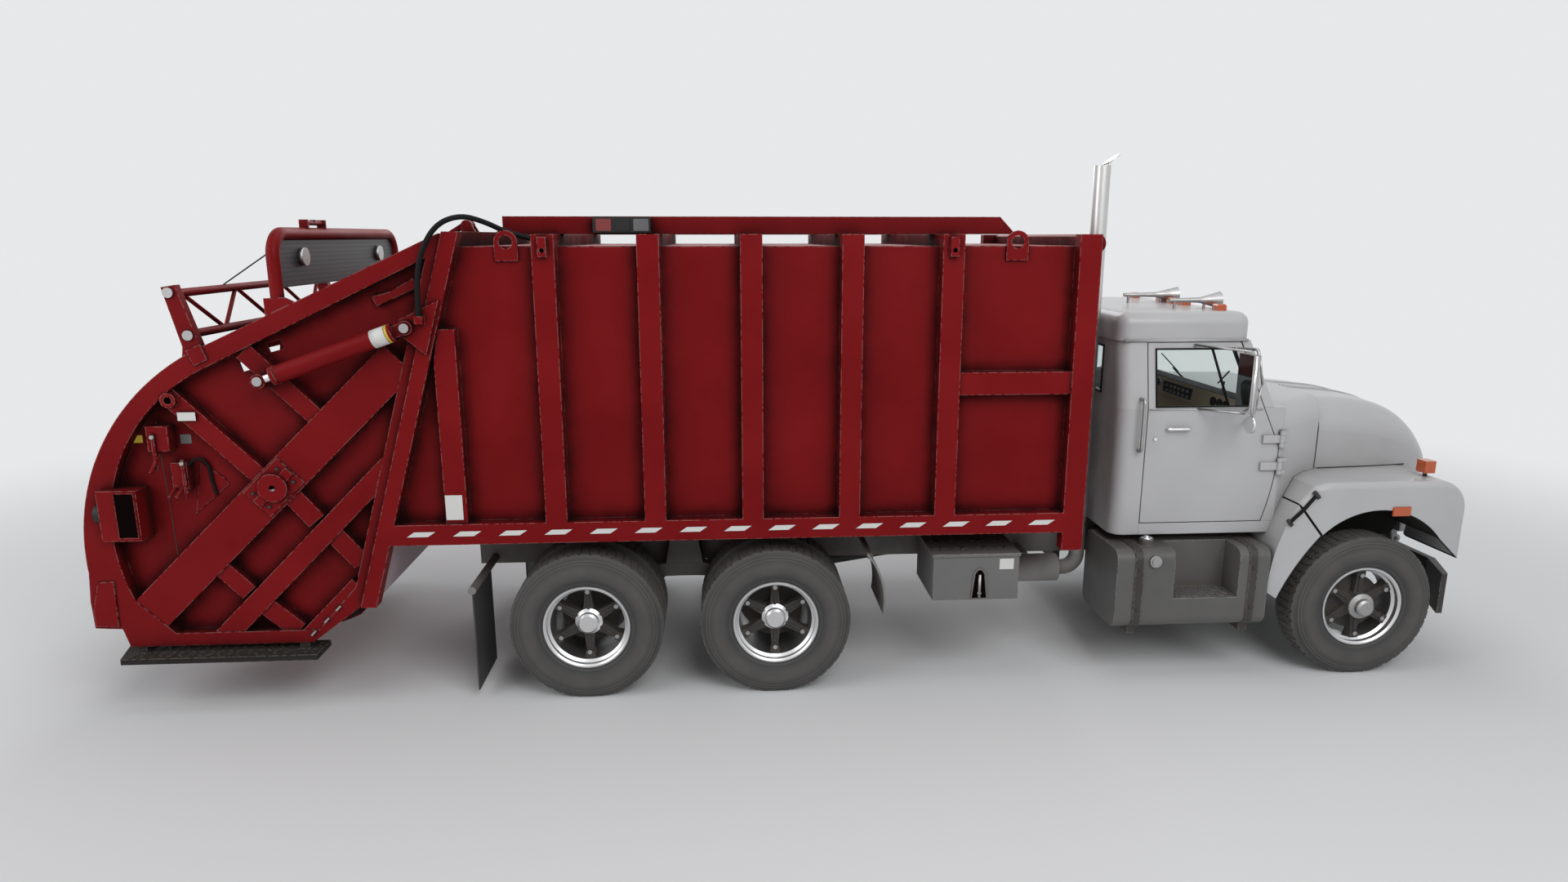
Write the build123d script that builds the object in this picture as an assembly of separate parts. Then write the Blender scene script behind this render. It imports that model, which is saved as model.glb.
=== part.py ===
# Rear-loading refuse truck with a bonneted cab, at full size, in millimetres.
# X points forward, Y to the truck's left, Z up, with the ground at Z = 0.
# Lengths along X are measured from the forward drive axle; the last step shifts
# every piece so that the origin lies under the middle of the truck.

import math
import os

from build123d import *

# Driving dimensions: running gear
FRONT_AXLE_X = 4310.0
TANDEM_SPACING = 1317.0
TYRE_R = 525.0
TYRE_HALF = 135.0
TREAD_HALF = 100.0
BEAD_R = 286.0
BEAD_HALF = 100.0
RIM_R = 285.7
RIM_HALF = 116.0
LIP_R = 297.0
RIM_WALL = 9.0
WELL_R = 268.0
OUTER_TYRE_Y = 1065.0
DUAL_SPACING = 330.0
FRONT_TYRE_Y = 1055.0
KINGPIN_Y = 870.0
KINGPIN_R = 22.0
SPINDLE_R = 40.0
PIN_CLEARANCE = 0.3
RUN_CLEARANCE = 6.0
HUB_R = 95.0
SPOKE_COUNT = 6
TIE_ARM = 230.0
TIE_Y = KINGPIN_Y

# Driving dimensions: frame
RAIL_Y = 430.0
RAIL_BOTTOM = 752.0
RAIL_TOP = 1012.0
RAIL_FLANGE = 85.0
RAIL_WALL = 8.0
RAIL_NOSE_TOP = 872.0
FRAME_REAR = -2200.0
BUMPER_BACK = 5060.0
BUMPER_FRONT = 5110.0
BUMPER_HALF = 1150.0
BUMPER_BOTTOM = 450.0
BUMPER_TOP = 760.0

# Driving dimensions: refuse body
BODY_HALF = 1220.0
RIB_DEPTH = 95.0
PANEL_Y = BODY_HALF - RIB_DEPTH
WALL = 12.0
RAIL_LOW = 1161.0
RAIL_HIGH = 1303.0
PANEL_TOP = 3120.0
RIB_TOP = 3197.0
RIB_WIDTH = 143.0
RIB_PITCH = 660.0
RIB_FIRST = -2208.0
RIB_COUNT = 6
POST_REAR = 2002.0
POST_FRONT = 2149.0
POST_FOOT = 1029.0
SLANT_TOP_X = -2096.0
SLANT_TOP_Z = 3213.0
SLANT_FOOT_X = -2813.0
SLANT_FOOT_Z = 727.0
SLANT_WIDTH = 103.0
POST_INNER = PANEL_Y - WALL
BEAM_INSET = 265.0
BEAM_Y = PANEL_Y - BEAM_INSET
BEAM_WIDTH = 150.0
BEAM_HEIGHT = 115.0
BEAM_REAR = -1777.0
BEAM_FRONT = 1541.0
EYE_BORE_R = 42.0
EYE_R = 74.0
EYE_Z = 3147.0
EYE_X = (-1722.0, 1608.0)
EYE_WALL = 14.0
HOOK_X = (RIB_FIRST + RIB_PITCH + 71, RIB_FIRST + 5 * RIB_PITCH + 71)

# Driving dimensions: tailgate
GATE_INSET = 50.0
GATE_BAR = 85.0
GATE_Y = BODY_HALF - GATE_INSET
GATE_PLATE_Y = GATE_Y - GATE_BAR
GATE_WALL = 12.0
GATE_BOTTOM = 470.0
HINGE_X = -2060.0
HINGE_Z = 3255.0
HINGE_R = 20.0
HINGE_Y = 690.0
SHAFT_X = -3311.0
SHAFT_Z = 1567.0
SHAFT_R = 60.0
BOWL_R = 1040.0
BLADE_GAP = 25.0
BLADE_REST = 285.0
CYLINDER_Y = BODY_HALF + 38.0
BRACKET_WALL = 20.0
BARREL_R = 58.0
ROD_R = 28.0
LIFT_FOOT = (-2351.0, 2617.0)
LIFT_EYE = (-3281.0, 2287.0)
FAIRLEAD_Y = (-620.0, -330.0)
HOOP_R = 41.0
STEP_TOP = 420.0
STEP_OUTER = BODY_HALF + 40.0
STEP_WIDTH = 240.0
STEP_WALL = 40.0

# Driving dimensions: cab and bonnet
DOOR_REAR = 2655.0
QUARTER_LENGTH = 205.0
CAB_BACK = DOOR_REAR - QUARTER_LENGTH
CAB_FLOOR = 1060.0
CAB_HALF = 1000.0
ROOF_HALF = 905.0
BELT_Z = 1990.0
DRIP_Z = 2460.0
ROOF_RISE = 200.0
ROOF_TOP = DRIP_Z + ROOF_RISE
CAB_WALL = 45.0
CAB_MOUNT_X = (2580.0, 3560.0)
CAB_ROUND = 95.0
PANE = 8.0
DOOR_FRONT = 3640.0
DOOR_BOTTOM = 1150.0
DOOR_GAP = 6.0
DOOR_HINGE_R = 18.0
DOOR_HINGE = (DOOR_FRONT + 10, CAB_HALF + DOOR_HINGE_R)
DOOR_HINGE_Z = (1560.0, 1760.0)
DOOR_HINGE_HALF = 30.0
DOOR_PIN_R = 10.0
MIRROR_REACH = 290.0
SEAT_Y = 470.0
STEER_R = 225.0
WHEEL_TILT = 58.0
FIREWALL_X = DOOR_FRONT + 20.0
COWL_LENGTH = 440.0
COWL_FRONT = FIREWALL_X + COWL_LENGTH
COWL_HALF = 730.0
COWL_TOP = BELT_Z + 30.0
PILLAR_LEAN = 165.0
PILLAR_FOOT = DOOR_FRONT - 140.0
PILLAR_HEAD = PILLAR_FOOT - PILLAR_LEAN
PILLAR_WIDTH = 70.0
HOOD_PIVOT = (5035.0, 810.0)
HOOD_PIN_R = 15.0
HOOD_BOTTOM = 1385.0
HOOD_WALL = 25.0
NOSE_X = 5090.0
FENDER_OUTER = 1180.0
FENDER_INNER = 640.0
FENDER_TOP = 1465.0
FENDER_WALL = 28.0
FENDER_ROUND = 210.0
FENDER_EDGE = 45.0

# Driving dimensions: side equipment and exhaust
TANK_OUTER = 1200.0
TANK_INNER = 600.0
TANK_X = (2430.0, 3552.0)
TANK_Z = (415.0, 1000.0)
TANK_ROUND = 80.0
STRAP = 8.0
STACK_X = 2340.0
STACK_Y = 650.0
STACK_R = 57.0
STACK_TOP = 3670.0
BOX_X = (1116.0, 1731.0)
BOX_Y = (600.0, 1150.0)
BOX_Z = (651.0, 972.0)

# The middle of the truck's length, which becomes the origin
GATE_REAR = -4578.0
MIDDLE_X = (BUMPER_FRONT + GATE_REAR) / 2


# Building blocks
def block(x0, x1, y0, y1, z0, z1):
    return Pos((x0 + x1) / 2, (y0 + y1) / 2, (z0 + z1) / 2) * Box(abs(x1 - x0), abs(y1 - y0), abs(z1 - z0))


def outline(place, start, steps):
    """A closed face; a step is a corner, or a pair (middle, end) for an arc."""
    edges = []
    here = start
    for step in list(steps) + [start]:
        if isinstance(step[0], tuple):
            edges.append(ThreePointArc(place(here), place(step[0]), place(step[1])))
            here = step[1]
        elif step != here:
            edges.append(Line(place(here), place(step)))
            here = step
    return Face(Wire(edges))


def side_plate(y0, y1, start, *steps):
    """A plate drawn in side view (x, z) from y0 to y1."""
    face = outline(lambda p: (p[0], y0, p[1]), start, steps)
    return extrude(face, amount=abs(y1 - y0), dir=(0, math.copysign(1, y1 - y0), 0))


def cross_plate(x0, x1, start, *steps):
    """A plate drawn in rear view (y, z) from x0 to x1."""
    face = outline(lambda p: (x0, p[0], p[1]), start, steps)
    return extrude(face, amount=abs(x1 - x0), dir=(math.copysign(1, x1 - x0), 0, 0))


def flat_plate(z0, z1, start, *steps):
    """A plate drawn in plan (x, y) from z0 to z1."""
    face = outline(lambda p: (p[0], p[1], z0), start, steps)
    return extrude(face, amount=abs(z1 - z0), dir=(0, 0, math.copysign(1, z1 - z0)))


def rod(start, end, radius):
    start, end = Vector(*start), Vector(*end)
    plane = Plane(origin=start, z_dir=end - start)
    return extrude(plane * Circle(radius), amount=(end - start).length)


def cross_rod(x, z, y0, y1, radius):
    return rod((x, y0, z), (x, y1, z), radius)


def pipe(points, radius, bend):
    path = FilletPolyline(*points, radius=bend)
    start = Plane(origin=path @ 0, z_dir=path % 0)
    return sweep(start * Circle(radius), path=path)


def strip(y0, y1, start, end, width):
    """A flat bar along a line in side view."""
    run = math.hypot(end[0] - start[0], end[1] - start[1])
    nx, nz = -(end[1] - start[1]) / run * width / 2, (end[0] - start[0]) / run * width / 2
    corners = [(start[0] + nx, start[1] + nz), (end[0] + nx, end[1] + nz),
               (end[0] - nx, end[1] - nz), (start[0] - nx, start[1] - nz)]
    return side_plate(y0, y1, *corners)


def turned(profile, y, outward):
    """A ring turned about a wheel's axle; profile holds (radius, inward offset)."""
    face = outline(lambda p: (p[0], y - outward * p[1], 0), profile[0], profile[1:])
    return revolve(face, Axis.Y)


def left_of(shape):
    return mirror(shape, about=Plane.XZ)


def both(shape):
    return [shape, left_of(shape)]


def slant_x(z):
    """Rear face of the slanted post at height z."""
    share = (z - SLANT_FOOT_Z) / (SLANT_TOP_Z - SLANT_FOOT_Z)
    return SLANT_FOOT_X + share * (SLANT_TOP_X - SLANT_FOOT_X)


NODES = {}


def keep(name, *pieces):
    solids = [solid for piece in pieces for solid in piece.solids()]
    NODES[name] = [Pos(-MIDDLE_X, 0, 0) * solid for solid in solids]


# Wheels and tyres
def tyre(y, outward):
    crown = TYRE_R - 25
    return turned([(BEAD_R, -BEAD_HALF), ((395, -TYRE_HALF), (crown, -TYRE_HALF + 12)),
                   (TYRE_R, -TREAD_HALF), (TYRE_R, TREAD_HALF), (crown, TYRE_HALF - 12),
                   ((395, TYRE_HALF), (BEAD_R, BEAD_HALF))], y, outward)


def rim(y, outward):
    seat, gutter = RIM_HALF - 10, RIM_HALF - 46
    inner = RIM_R - RIM_WALL
    well = WELL_R - RIM_WALL
    return turned([(LIP_R, -RIM_HALF), (LIP_R, -RIM_HALF + 8), (RIM_R, -seat), (RIM_R, -gutter),
                   (WELL_R, -gutter + 15), (WELL_R, gutter - 15), (RIM_R, gutter), (RIM_R, seat),
                   (LIP_R, RIM_HALF - 8), (LIP_R, RIM_HALF), (LIP_R - 9, RIM_HALF), (inner, seat),
                   (inner, gutter + 4), (well, gutter - 11), (well, 11 - gutter), (inner, -gutter - 4),
                   (inner, -seat), (LIP_R - 9, -RIM_HALF)], y, outward)


def spokes(y, outward, depth):
    """Cast spokes, the first one upright, from the hub out to the rim's well."""
    reach = WELL_R - RIM_WALL + 2
    half = depth / 2
    arm = extrude(Plane(origin=(0, y, 0), x_dir=(1, 0, 0), z_dir=(0, outward, 0)) * make_face(
        Polyline((HUB_R - 20, -38), (reach - 46, -23), (reach, -36), (reach, 36), (reach - 46, 23),
                 (HUB_R - 20, 38), close=True)), amount=half, both=True)
    return [Rot(0, 90 + 360 * i / SPOKE_COUNT, 0) * arm for i in range(SPOKE_COUNT)]


def hub(y, outward, front, back, cap_r, bore_end):
    """Hub barrel with its cap and brake drum; front and back are inward offsets from y."""
    drum_r, drum_wall = 205.0, 14.0
    bore = SPINDLE_R + PIN_CLEARANCE
    return turned([(0.0, front), (cap_r - 14, front), (cap_r, front + 14), (cap_r, front + 46),
                   (HUB_R, front + 60), (HUB_R, back - 130), (drum_r, back - 110), (drum_r, back),
                   (drum_r - drum_wall, back), (drum_r - drum_wall, back - 92), (HUB_R - 20, back - 92),
                   (HUB_R - 20, back - 40), (bore, back - 40), (bore, bore_end), (0.0, bore_end)], y, outward)


def front_wheel(side):
    y = side * FRONT_TYRE_Y
    wheel = hub(y, side, -165.0, 120.0, 64.0, -40.0) + rim(y, side)
    for arm in spokes(y + side * 20, side, 70):
        wheel += arm
    return wheel, tyre(y, side)


def rear_wheel(side):
    outer = side * OUTER_TYRE_Y
    inner = side * (OUTER_TYRE_Y - DUAL_SPACING)
    well = WELL_R - RIM_WALL
    band = turned([(WELL_R, 40.0), (WELL_R, DUAL_SPACING - 40), (well, DUAL_SPACING - 40), (well, 40.0)],
                  outer, side)
    wheel = hub(outer, side, -55.0, 270.0, 73.0, 30.0) + rim(outer, side) + rim(inner, side) + band
    for arm in spokes(outer - side * 45, side, 80):
        wheel += arm
    return wheel, [tyre(outer, side), tyre(inner, side)]


def wheels():
    sides = {"right": -1, "left": 1}
    for name, side in sides.items():
        place = Pos(FRONT_AXLE_X, 0, TYRE_R)
        wheel, rubber = front_wheel(side)
        keep(f"wheel_front_{name}", place * wheel, place * rubber)
        wheel, rubber = rear_wheel(side)
        for row, x in (("mid", 0.0), ("rear", -TANDEM_SPACING)):
            place = Pos(x, 0, TYRE_R)
            keep(f"wheels_{row}_{name}", place * wheel, *[place * ring for ring in rubber])


# Front axle, knuckles and tie rod
AXLE_EYE = (TYRE_R - 55, TYRE_R + 65)
YOKE = 48.0


def front_axle():
    half, beam_top, beam_low = 45.0, 500.0, 405.0
    neck = KINGPIN_Y - 75
    shape = ((-neck, beam_top + 60), (-620, beam_top), (620, beam_top), (neck, beam_top + 60),
             (KINGPIN_Y, beam_top + 60), (KINGPIN_Y, beam_top - 10), (neck, beam_top - 20), (620, beam_low),
             (-620, beam_low), (-neck, beam_top - 20), (-KINGPIN_Y, beam_top - 10),
             (-KINGPIN_Y, beam_top + 60))
    beam = cross_plate(FRONT_AXLE_X - half, FRONT_AXLE_X + half, *shape)
    flute = ((-600, beam_top - 18), (600, beam_top - 18), (600, beam_low + 18), (-600, beam_low + 18))
    for x0, x1 in ((-half, -half + 30), (half - 30, half)):
        beam -= cross_plate(FRONT_AXLE_X + x0, FRONT_AXLE_X + x1, *flute)
    for y in (-KINGPIN_Y, KINGPIN_Y):
        beam += rod((FRONT_AXLE_X, y, AXLE_EYE[0]), (FRONT_AXLE_X, y, AXLE_EYE[1]), 48)
        beam -= rod((FRONT_AXLE_X, y, 0), (FRONT_AXLE_X, y, 2 * TYRE_R), KINGPIN_R + PIN_CLEARANCE)
    return beam


def knuckles():
    low, high = AXLE_EYE[0] - PIN_CLEARANCE, AXLE_EYE[1] + PIN_CLEARANCE
    x, z = FRONT_AXLE_X, TYRE_R
    back = KINGPIN_Y + 60
    yoke = block(x - 50, x + 50, back, back + 40, low - YOKE, high + YOKE)
    for z0, z1 in ((low - YOKE, low), (high, high + YOKE)):
        yoke += rod((x, KINGPIN_Y, z0), (x, KINGPIN_Y, z1), 48)
        yoke += block(x - 48, x + 48, KINGPIN_Y, back + 5, z0, z1)
    yoke += rod((x, KINGPIN_Y, low - YOKE), (x, KINGPIN_Y, high + YOKE), KINGPIN_R)
    yoke += cross_rod(x, z, back, FRONT_TYRE_Y + 38, SPINDLE_R)
    arm_z = low - YOKE
    yoke += flat_plate(arm_z, arm_z + 30, (x - 40, KINGPIN_Y - 30), (x - 40, KINGPIN_Y + 30),
                       (x - TIE_ARM, TIE_Y + 26), (x - TIE_ARM, TIE_Y - 26))
    yoke += rod((x - TIE_ARM, TIE_Y, arm_z - 60), (x - TIE_ARM, TIE_Y, arm_z + 30), 26)
    yoke -= rod((x - TIE_ARM, TIE_Y, arm_z - 60), (x - TIE_ARM, TIE_Y, arm_z), 60)
    yoke += rod((x - TIE_ARM, TIE_Y, arm_z - 50), (x - TIE_ARM, TIE_Y, arm_z), 11)
    keep("knuckle_left", yoke)
    keep("knuckle_right", left_of(yoke))
    eye_top = arm_z - PIN_CLEARANCE
    bar = cross_rod(x - TIE_ARM, eye_top - 27, -TIE_Y, TIE_Y, 19)
    for y in (-TIE_Y, TIE_Y):
        bar += rod((x - TIE_ARM, y, eye_top - 54), (x - TIE_ARM, y, eye_top), 30)
    for y in (-TIE_Y, TIE_Y):
        bar -= rod((x - TIE_ARM, y, eye_top - 60), (x - TIE_ARM, y, eye_top), 11 + PIN_CLEARANCE)
    keep("tie_rod", bar)


# Springs and drive axles
def front_springs():
    y0, y1 = -RAIL_Y - 30, -RAIL_Y + 50
    x, seat, reach, eye = FRONT_AXLE_X, 500.0, 590.0, RAIL_BOTTOM - 45
    leaf = side_plate(y0, y1, (x - reach, eye), ((x - 380, seat + 72), (x - 70, seat)), (x + 70, seat),
                      ((x + 380, seat + 72), (x + reach, eye)), (x + reach, eye + 24),
                      ((x + 300, seat + 150), (x, seat + 118)),
                      ((x - 300, seat + 150), (x - reach, eye + 24)))
    for end in (-reach, reach):
        leaf += block(x + end - 35, x + end + 35, y0, y1, eye - 20, RAIL_BOTTOM)
    return both(leaf)


SPRING_Y = (RAIL_Y + 20, RAIL_Y + 120)
SPRING_SEAT = TYRE_R + 85
TRUNNION_X = -TANDEM_SPACING / 2
SADDLE_Z = RAIL_BOTTOM + 10
SADDLE_HALF = 140.0


def axle_beams():
    axles = [front_axle()]
    for x in (0.0, -TANDEM_SPACING):
        inner = OUTER_TYRE_Y - 275
        axle = cross_rod(x, TYRE_R, -inner, inner, 68)
        tip = OUTER_TYRE_Y - 34
        axle += cross_rod(x, TYRE_R, -tip, tip, SPINDLE_R)
        axle += cross_rod(x, TYRE_R, -110, 150, 205)
        axle += rod((x, 0, TYRE_R + 35), (x + 300, 0, TYRE_R + 35), 95)
        for y0, y1 in (SPRING_Y, (-SPRING_Y[1], -SPRING_Y[0])):
            axle += block(x - 70, x + 70, y0, y1, TYRE_R, SPRING_SEAT)
        axles.append(axle)
    keep("axles", *axles)


def springs():
    y0, y1 = -SPRING_Y[1], -SPRING_Y[0]
    front, rear = 75.0, -TANDEM_SPACING - 75
    top, saddle = SADDLE_Z, SADDLE_HALF
    pack = side_plate(y0, y1, (rear, SPRING_SEAT), (rear + 150, SPRING_SEAT),
                      ((TRUNNION_X, SPRING_SEAT + 52), (front - 150, SPRING_SEAT)), (front, SPRING_SEAT),
                      (front, SPRING_SEAT + 26), (TRUNNION_X + saddle, top), (TRUNNION_X - saddle, top),
                      (rear, SPRING_SEAT + 26))
    keep("springs", *both(pack), *front_springs())


# Ladder frame
CROSSMEMBERS = ((4800.0, 90.0, 760.0, 800.0), (4420.0, 110.0, 760.0, 800.0), (2900.0, 110.0, 760.0, 800.0),
                (1500.0, 90.0, 860.0, 990.0), (420.0, 90.0, 760.0, 990.0), (TRUNNION_X, 220.0, 760.0, 990.0),
                (FRAME_REAR + 60, 100.0, 760.0, 990.0))
# columns: middle along X, width, bottom height, top height


def frame():
    web = RAIL_Y - RAIL_WALL
    nose = 4600.0
    rail = side_plate(-RAIL_Y, -RAIL_Y + RAIL_FLANGE, (FRAME_REAR, RAIL_BOTTOM), (BUMPER_BACK, RAIL_BOTTOM),
                      (BUMPER_BACK, RAIL_NOSE_TOP), (nose + 100, RAIL_NOSE_TOP), (nose - 100, RAIL_TOP),
                      (FRAME_REAR, RAIL_TOP))
    rail -= side_plate(-web, -RAIL_Y + RAIL_FLANGE, (FRAME_REAR, RAIL_BOTTOM + RAIL_WALL),
                       (BUMPER_BACK, RAIL_BOTTOM + RAIL_WALL), (BUMPER_BACK, RAIL_NOSE_TOP - RAIL_WALL),
                       (nose + 98, RAIL_NOSE_TOP - RAIL_WALL), (nose - 102, RAIL_TOP - RAIL_WALL),
                       (FRAME_REAR, RAIL_TOP - RAIL_WALL))
    rail += cross_rod(HOOD_PIVOT[0], HOOD_PIVOT[1], -RAIL_Y - 52, -web, HOOD_PIN_R)
    rail += side_plate(-SPRING_Y[1], -RAIL_Y, (TRUNNION_X - SADDLE_HALF, SADDLE_Z),
                       (TRUNNION_X + SADDLE_HALF, SADDLE_Z), (TRUNNION_X + 100, RAIL_TOP - 30),
                       (TRUNNION_X - 100, RAIL_TOP - 30))
    ladder = rail + left_of(rail)
    for x, width, low, top in CROSSMEMBERS:
        ladder += block(x - width / 2, x + width / 2, -web, web, low, top)
    for x in CAB_MOUNT_X:
        for piece in both(block(x - 60, x + 60, -RAIL_Y, -RAIL_Y + RAIL_FLANGE, RAIL_TOP, CAB_FLOOR)):
            ladder += piece
    keep("frame", ladder)
    bend, tip = BUMPER_HALF - 330, BUMPER_BACK - 110
    bumper = flat_plate(BUMPER_BOTTOM, BUMPER_TOP, (tip, -BUMPER_HALF), (BUMPER_FRONT, -bend),
                        (BUMPER_FRONT, bend), (tip, BUMPER_HALF), (tip - 45, BUMPER_HALF),
                        (BUMPER_BACK, bend - 20), (BUMPER_BACK, 20 - bend), (tip - 45, -BUMPER_HALF))
    keep("bumper", bumper)


def drive_line():
    engine = block(3720, 4640, -290, 290, 800, 1560)
    gearbox = side_plate(-170, 170, (2740, 860), (2840, 800), (3720, 800), (3720, 1030), (2740, 1000))
    shaft = rod((2760, 0, 920), (370, 0, TYRE_R + 35), 48)
    shaft += rod((300, 0, TYRE_R + 35), (390, 0, TYRE_R + 35), 60)
    radiator = block(4760, 4840, -340, 340, 800, 1640)
    keep("engine_and_radiator", engine + gearbox + shaft, radiator)


# Refuse body
def body_shell():
    floor_rear = slant_x(RAIL_LOW) + 110
    floor = block(floor_rear, POST_FRONT - 40, -PANEL_Y + WALL, PANEL_Y - WALL, RAIL_LOW, RAIL_LOW + 40)
    for sill in both(block(FRAME_REAR, POST_FRONT - 40, -RAIL_Y, -RAIL_Y + RAIL_FLANGE, RAIL_TOP, RAIL_LOW)):
        floor += sill
    keep("body_floor", floor)
    wall = block(POST_FRONT - 40, POST_FRONT, -PANEL_Y, PANEL_Y, RAIL_LOW, RIB_TOP - 30)
    wall += cross_rod(POST_FRONT, 3135, -PANEL_Y, PANEL_Y, 62) - block(
        POST_REAR, POST_FRONT - 40, -PANEL_Y, PANEL_Y, PANEL_TOP - 100, RIB_TOP + 100)
    keep("body_front", wall)


def body_sides():
    panel = side_plate(-PANEL_Y, -PANEL_Y + WALL, (slant_x(RAIL_LOW) + SLANT_WIDTH, RAIL_LOW),
                       (POST_REAR, RAIL_LOW), (POST_REAR, PANEL_TOP),
                       (slant_x(PANEL_TOP) + SLANT_WIDTH, PANEL_TOP))
    side = panel
    for i in range(1, RIB_COUNT):
        x = RIB_FIRST + i * RIB_PITCH
        side += block(x, x + RIB_WIDTH, -BODY_HALF, -PANEL_Y, RAIL_HIGH, RIB_TOP)
    for x in HOOK_X:
        side += side_plate(-BODY_HALF - 32, -BODY_HALF, (x - 28, 3055.0), (x + 28, 3055.0), (x + 28, 3180.0),
                           (x - 28, 3180.0)) - cross_rod(x, 3095, -BODY_HALF - 32, -BODY_HALF, 15)
    behind, high = RIB_FIRST + RIB_WIDTH, 2600.0
    side += side_plate(-BODY_HALF + 20, -PANEL_Y, (RIB_FIRST, RAIL_HIGH), (behind, RAIL_HIGH), (behind, high),
                       (slant_x(high) + SLANT_WIDTH, high), (RIB_FIRST, 2400))
    last = RIB_FIRST + (RIB_COUNT - 1) * RIB_PITCH + RIB_WIDTH
    side += block(last, POST_REAR, -BODY_HALF + 15, -PANEL_Y, 2136, 2290)
    side += side_plate(-BODY_HALF, -PANEL_Y, (slant_x(RAIL_LOW) + SLANT_WIDTH, RAIL_LOW),
                       (POST_REAR, RAIL_LOW), (POST_REAR, RAIL_HIGH),
                       (slant_x(RAIL_HIGH) + SLANT_WIDTH, RAIL_HIGH))
    side += block(POST_REAR, POST_FRONT, -BODY_HALF, -PANEL_Y, POST_FOOT, RIB_TOP)
    side += block(POST_REAR, POST_FRONT - 40, -PANEL_Y, -PANEL_Y + WALL, RAIL_LOW, PANEL_TOP)
    side += side_plate(-BODY_HALF, -POST_INNER, (SLANT_FOOT_X, SLANT_FOOT_Z),
                       (SLANT_FOOT_X + SLANT_WIDTH, SLANT_FOOT_Z), (SLANT_TOP_X + SLANT_WIDTH, SLANT_TOP_Z),
                       (SLANT_TOP_X, SLANT_TOP_Z))
    keep("body_side_right", side)
    keep("body_side_left", left_of(side))


def rear_frame():
    high = RAIL_LOW + 40
    low_wall = side_plate(-POST_INNER, POST_INNER, (SLANT_FOOT_X, SLANT_FOOT_Z),
                          (SLANT_FOOT_X + 60, SLANT_FOOT_Z), (slant_x(high) + 60, high),
                          (slant_x(high), high))
    rear = slant_x(RAIL_LOW)
    low_wall += block(rear + 30, rear + 110, -POST_INNER, POST_INNER, RAIL_LOW, high)
    keep("rear_sill_wall", low_wall)
    low = PANEL_TOP - 60
    header = side_plate(-POST_INNER, POST_INNER, (slant_x(low), low), (slant_x(low) + SLANT_WIDTH, low),
                        (SLANT_TOP_X + SLANT_WIDTH, SLANT_TOP_Z), (SLANT_TOP_X, SLANT_TOP_Z))
    for y in (-HINGE_Y, HINGE_Y):
        header += cross_rod(HINGE_X, HINGE_Z, y - 55, y + 55, HINGE_R)
        for y0 in (y - 55, y + 31):
            header += side_plate(y0, y0 + 24, (HINGE_X - 36, SLANT_TOP_Z), (HINGE_X + 60, SLANT_TOP_Z),
                                 (HINGE_X + 36, HINGE_Z), ((HINGE_X, HINGE_Z + 36), (HINGE_X - 36, HINGE_Z)))
    keep("rear_header", header)


def body_top():
    rear = slant_x(PANEL_TOP) + SLANT_WIDTH
    roof = block(rear, POST_FRONT - 40, -PANEL_Y + WALL, PANEL_Y - WALL, PANEL_TOP - WALL, PANEL_TOP)
    for i in range(1, RIB_COUNT):
        x = RIB_FIRST + i * RIB_PITCH
        roof += block(x, x + RIB_WIDTH, -PANEL_Y, PANEL_Y, PANEL_TOP, RIB_TOP)
    top = RIB_TOP + BEAM_HEIGHT
    for y in (-BEAM_Y, BEAM_Y):
        roof += side_plate(y - BEAM_WIDTH / 2, y + BEAM_WIDTH / 2, (BEAM_REAR, RIB_TOP),
                           (BEAM_FRONT + 110, RIB_TOP), (BEAM_FRONT, top), (BEAM_REAR, top))
    last = Vector(*HOSE[-1])
    port = rod(last, last + (last - Vector(*HOSE[-2])).normalized() * 55, HOSE_R + 9)
    for piece in both(port):
        roof += piece
    keep("body_roof", roof)
    eyes = []
    foot = EYE_Z - 120
    for x in EYE_X:
        eye = side_plate(-PANEL_Y - EYE_WALL, -PANEL_Y, (x - EYE_R, foot), (x + EYE_R, foot),
                         (x + EYE_R, EYE_Z), ((x, EYE_Z + EYE_R), (x - EYE_R, EYE_Z)))
        eye -= cross_rod(x, EYE_Z, -PANEL_Y - EYE_WALL, -PANEL_Y, EYE_BORE_R)
        eyes += both(eye)
    keep("lifting_eyes", *eyes)


# Hydraulic hoses from the lift brackets over the roof's edge
HOSE_R = 17.0
# columns: x, distance out from the body's side, height
HOSE_ROUTE = ((-2260.0, 42.0, 2690.0), (-2260.0, 42.0, 2880.0), (-2225.0, 34.0, 3080.0),
              (-2125.0, 18.0, 3255.0), (-1985.0, -45.0, 3315.0), (-1855.0, -130.0, 3275.0),
              (-1730.0, -205.0, 3205.0), (-1590.0, -235.0, 3170.0))
HOSE = [(x, -BODY_HALF - out, z) for x, out, z in HOSE_ROUTE]


def hoses():
    points = [Vector(*point) for point in HOSE]
    runs = [b - a for a, b in zip(points, points[1:])]
    radii = []
    for before, after in zip(runs, runs[1:]):
        half_turn = math.radians(before.get_angle(after)) / 2
        radii.append(0.45 * min(before.length, after.length) / math.tan(half_turn))
    print("smallest bend of a hose", round(min(radii)), "mm")
    path = FilletPolyline(*points, radius=radii)
    hose = sweep(Plane(origin=path @ 0, z_dir=path % 0) * Circle(HOSE_R), path=path)
    keep("hose_right", hose)
    keep("hose_left", left_of(hose))


# Lift cylinders
LIFT_RUN = math.hypot(LIFT_EYE[0] - LIFT_FOOT[0], LIFT_EYE[1] - LIFT_FOOT[1])
LIFT_DIR = ((LIFT_EYE[0] - LIFT_FOOT[0]) / LIFT_RUN, (LIFT_EYE[1] - LIFT_FOOT[1]) / LIFT_RUN)


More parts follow.
